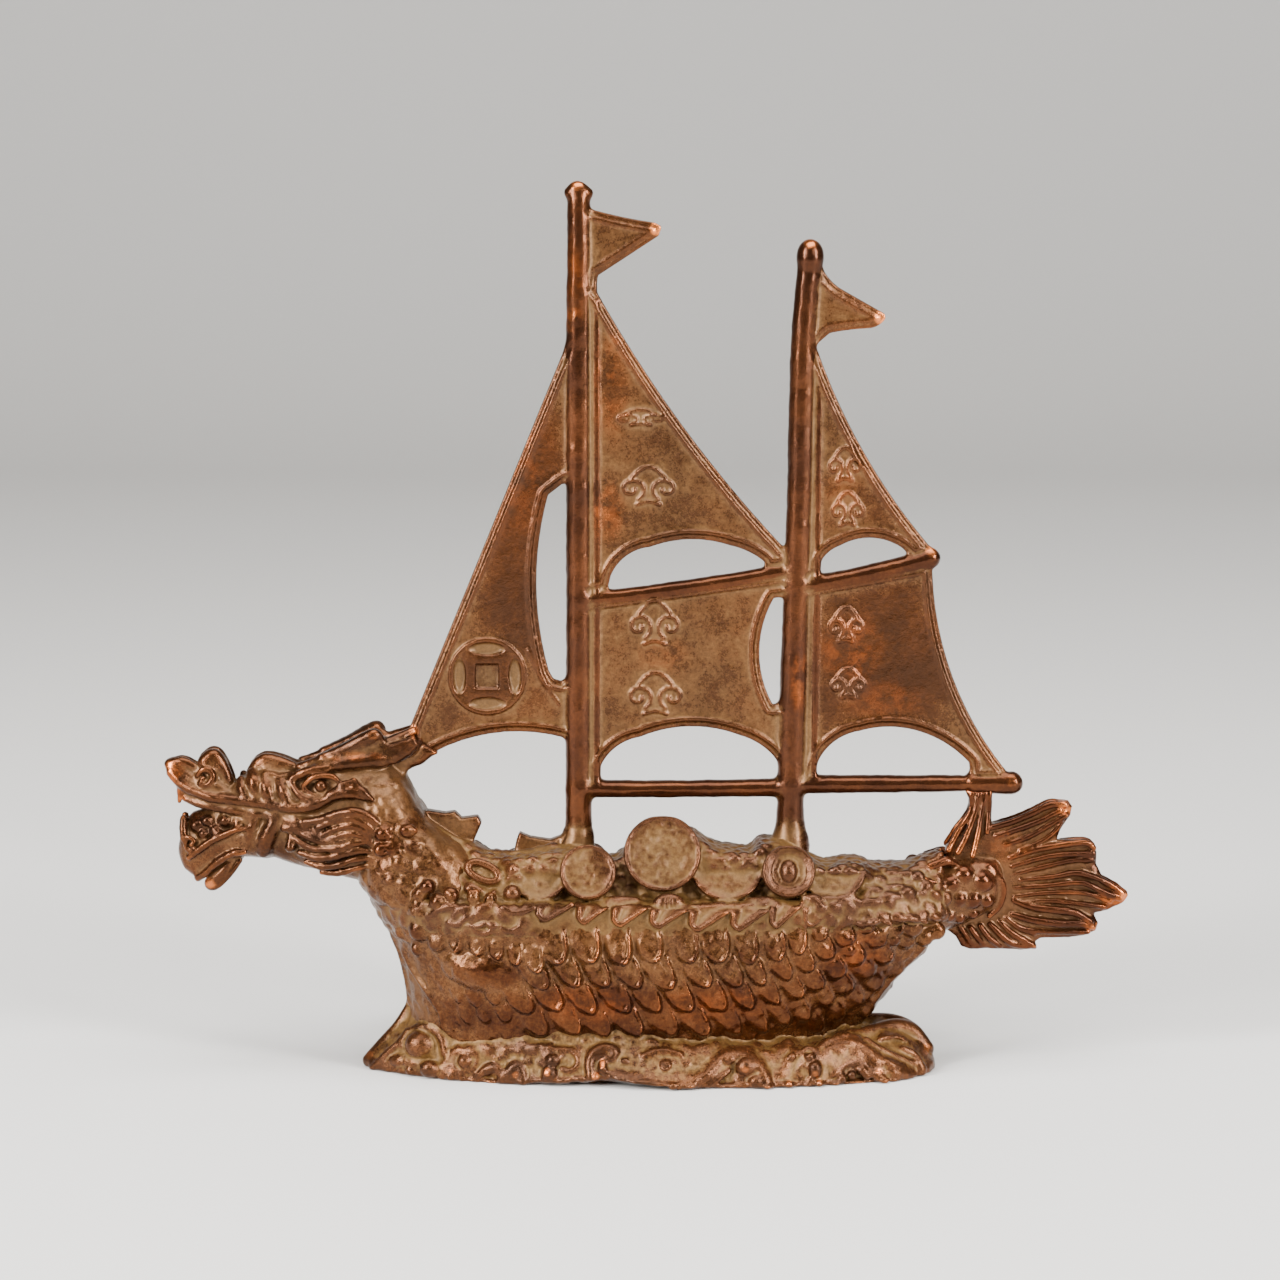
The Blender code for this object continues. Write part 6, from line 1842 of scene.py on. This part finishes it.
def base_row(x, z):
    """Front x, back x, half width and fullness of the base at these places."""
    front, back, width, bow_power = columns(np.array(BASE), z)
    return front, back, width, np.where(x < (front + back) / 2, bow_power, STERN_POWER)


def base_side(x, z):
    """How far out the base's skirt lies at a place in the side view."""
    front, back, width, power = base_row(x, z)
    along = np.clip(np.abs(2 * x - front - back) / (back - front), 0.0, 1.0)
    return width * (1.0 - along ** power) ** (1.0 / power)


def sheet_height(x, z):
    """Height on the upright sheet of a place on the skirt."""
    return z + SHEET_SLOPE * (SHEET_AT - base_side(x, z))


def on_skirt(rows):
    """Rows of (x, z, radius) moved from the upright sheet to the skirt."""
    moved = []
    for x, drawn, radius in rows:
        z = drawn
        for _ in range(5):
            z = drawn - SHEET_SLOPE * (SHEET_AT - float(base_side(x, z)))
        moved.append((x, z, radius))
    return moved


def level_at(rows, x):
    """Height of a line of (x, z) rows at x."""
    return np.interp(x, [row[0] for row in rows], [row[1] for row in rows])


# How far the waves' relief is raised over what their rows give.
WAVE_BOOST = 1.15

# Unevenness of the waves: height, length and seed of its swells.
WAVE_RIPPLES = ((0.16, 4.0, 61), (0.14, 1.6, 62), (0.07, 0.8, 65))


def wave_relief(x, z):
    """Height of the waves over places on the upright sheet."""
    relief = np.zeros(np.broadcast(x, z).shape)
    for points, above, below, height in CRESTS:
        path = spline(points, 4)
        away = line_distance(path, x, z)
        reach = np.where(z > level_at(path, x), above, below)
        relief = np.maximum(relief, height * (1.0 - smooth_step(away / reach, 0.0, 1.0)))
    for corners, depth in HOLLOWS:
        edge = outline_distance(corners, x, z)
        relief = relief - depth * (1.0 - smooth_step(edge, -0.9, 0.2))
    (eye_x, eye_z), (half_length, half_height), boss = WAVE_EYE
    size = np.hypot((x - eye_x) / half_length, (z - eye_z) / half_height)
    relief = relief + 0.2 * (1.0 - smooth_step(size, 0.7, 1.0)) + 0.15 * bump(size, 0.95, 0.25)
    relief = relief + 0.5 * (1.0 - smooth_step(np.hypot(x - eye_x, z - eye_z), 0.5 * boss, boss))
    lip = level_at(BASE_LIP, x) + 0.15 * ripple(x, 0.0 * z, 2.6, 63)
    relief = relief + (0.35 + 0.25 * ripple(x, 0.0 * z, 1.5, 64)) * bump(z, lip, 0.6)
    relief = relief - 1.7 * (1.0 - smooth_step(z, lip - 1.1, lip - 0.35))
    relief = WAVE_BOOST * relief * (1.0 - smooth_step(np.abs(x), 32.5, 36.0))
    for height, length, seed in WAVE_RIPPLES:
        relief = relief + height * ripple(x, z, length, seed)
    return relief + 0.2 * (cobbles(x, z, 1.9, 11.0) - 0.5)


def make_base():
    """The flared base of cast waves."""
    field = Field(*REGIONS["base"])
    x, y, z = field.places()
    front, back, width, power = base_row(x, z)
    body = rounded_section(x - (front + back) / 2, y, (back - front) / 2, width, power)
    drawn = sheet_height(x, z)
    body = body - wave_relief(x, drawn)
    lumps = 0.4 * ripple(x, y, 3.0, 66) + 0.5 * (cobbles(x, y, 2.1, 5.0) - 0.4)
    top = drawn - level_at(BASE_TOP, x) - lumps
    field.layer("wave_base")[:] = smooth_max(body, top + 0.0 * body, 1.4)
    for row in WAVE_LINES:
        full = [(x0, z0, CORD_SWELL * radius) for x0, z0, radius in on_skirt(row)]
        field.add("wave_base", stroke(skinned(full, 0.15, base_side)), 0.6)
    for x0, z0, radius in on_skirt(WAVE_KNOBS):
        relief = wave_relief(np.array([x0]), np.array([sheet_height(x0, z0)]))[0]
        out = float(base_side(x0, z0)) + max(relief, 0.0) + 0.15 - KNOB_SINK * max(radius - 0.8, 0.0)
        field.add("wave_base", blob((x0, out, z0), (1.15 * radius, radius, 1.05 * radius)), 0.4)
    strokes(field, "wave_base", END_RIDGES, 0.8)
    foot = 0.0 - z + 0.0 * body
    field.parts["wave_base"] = smooth_max(field.parts["wave_base"], foot, 0.3).astype(np.float32)
    add_hull(field)
    field.fuse(0.7)
    field.fused = smooth_max(field.fused, foot, 0.3).astype(np.float32)
    cast(field, "bronze_base", ("wave_base",))


# Camera, floor and lights


# The studio, in metres: the floor's half width, its front, where it bends up behind, how wide the bend is and
# how high the back rises.
FLOOR_HALF = 2.2
FLOOR_FRONT = -0.9
FLOOR_BACK = 0.7
FLOOR_BEND = 0.4
FLOOR_TOP = 1.6
BEND_STEPS = 12
FLOOR_COLOUR = (0.72, 0.70, 0.67, 1.0)
FLOOR_ROUGHNESS = 0.75
WORLD_COLOUR = (0.80, 0.80, 0.80, 1.0)
WORLD_STRENGTH = 0.12

# Lights: columns are name, place, size and power. All look at the same point.
LIGHTS = (
    ("left_soft", (-0.50, -0.43, 0.34), (0.12, 0.45), 11.8),
    ("right_soft", (0.53, -0.42, 0.30), (0.10, 0.45), 10.0),
    ("top_soft", (0.05, -0.12, 0.65), (0.60, 0.40), 6.5),
    ("left_glint", (-0.36, -0.62, 0.32), (0.03, 0.12), 1.1),
    ("right_glint", (0.32, -0.60, 0.40), (0.03, 0.12), 1.1),
)
LIGHTS_AIM = np.array([0.0, 0.0, 0.055])


def make_stage():
    """A pale floor that curves up behind, soft lights, and the camera of the photograph."""
    world = bpy.data.worlds.new("studio")
    world.use_nodes = True
    background = world.node_tree.nodes["Background"]
    background.inputs["Color"].default_value = WORLD_COLOUR
    background.inputs["Strength"].default_value = WORLD_STRENGTH
    bpy.context.scene.world = world

    rows = [(FLOOR_FRONT, 0.0), (FLOOR_BACK, 0.0)]
    for step in range(1, BEND_STEPS + 1):
        angle = math.radians(90 * step / BEND_STEPS)
        rows.append((FLOOR_BACK + FLOOR_BEND * math.sin(angle),
                     FLOOR_BEND - FLOOR_BEND * math.cos(angle)))
    rows.append((FLOOR_BACK + FLOOR_BEND, FLOOR_TOP))
    corners = [(side * FLOOR_HALF, y, z) for y, z in rows for side in (-1, 1)]
    faces = [(2 * k, 2 * k + 1, 2 * k + 3, 2 * k + 2) for k in range(len(rows) - 1)]
    floor_mesh = bpy.data.meshes.new("floor")
    floor_mesh.from_pydata(corners, [], faces)
    floor_mesh.shade_smooth()
    floor = bpy.data.objects.new("floor", floor_mesh)
    bpy.context.scene.collection.objects.link(floor)
    material = bpy.data.materials.new("pale_floor")
    material.use_nodes = True
    shader = material.node_tree.nodes["Principled BSDF"]
    shader.inputs["Base Color"].default_value = FLOOR_COLOUR
    shader.inputs["Roughness"].default_value = FLOOR_ROUGHNESS
    floor_mesh.materials.append(material)

    for name, position, size, power in LIGHTS:
        data = bpy.data.lights.new(name, "AREA")
        data.shape = "RECTANGLE"
        data.size, data.size_y = size
        data.energy = power
        light = bpy.data.objects.new(name, data)
        light.location = position
        aim = LIGHTS_AIM - np.array(position)
        flat = math.hypot(aim[0], aim[1])
        light.rotation_euler = (math.atan2(flat, -aim[2]), 0.0, math.atan2(-aim[0], aim[1]))
        bpy.context.scene.collection.objects.link(light)

    lens = bpy.data.cameras.new("camera")
    lens.sensor_width = SENSOR
    lens.lens = SENSOR * VIEW_DISTANCE / FRAME_WIDTH
    lens.clip_start = NEAR_CLIP
    camera = bpy.data.objects.new("camera", lens)
    rise = math.radians(VIEW_ELEVATION)
    camera.location = (VIEW_TARGET[0] * MM, -VIEW_DISTANCE * math.cos(rise) * MM,
                       (VIEW_TARGET[2] + VIEW_DISTANCE * math.sin(rise)) * MM)
    camera.rotation_euler = (math.radians(90.0) - rise, 0.0, 0.0)
    bpy.context.scene.collection.objects.link(camera)
    bpy.context.scene.camera = camera


make_stage()
make_rig()
make_head()
make_hull()
make_deck()
make_tail()
make_base()

for node in frame["nodes"].values():
    record = [row for row in frame["record"]["subparts"] if row["node"] == node.name]
    if record:
        node.data.materials.clear()
        node.data.materials.append(MATERIALS[record[0]["material_slot"]])
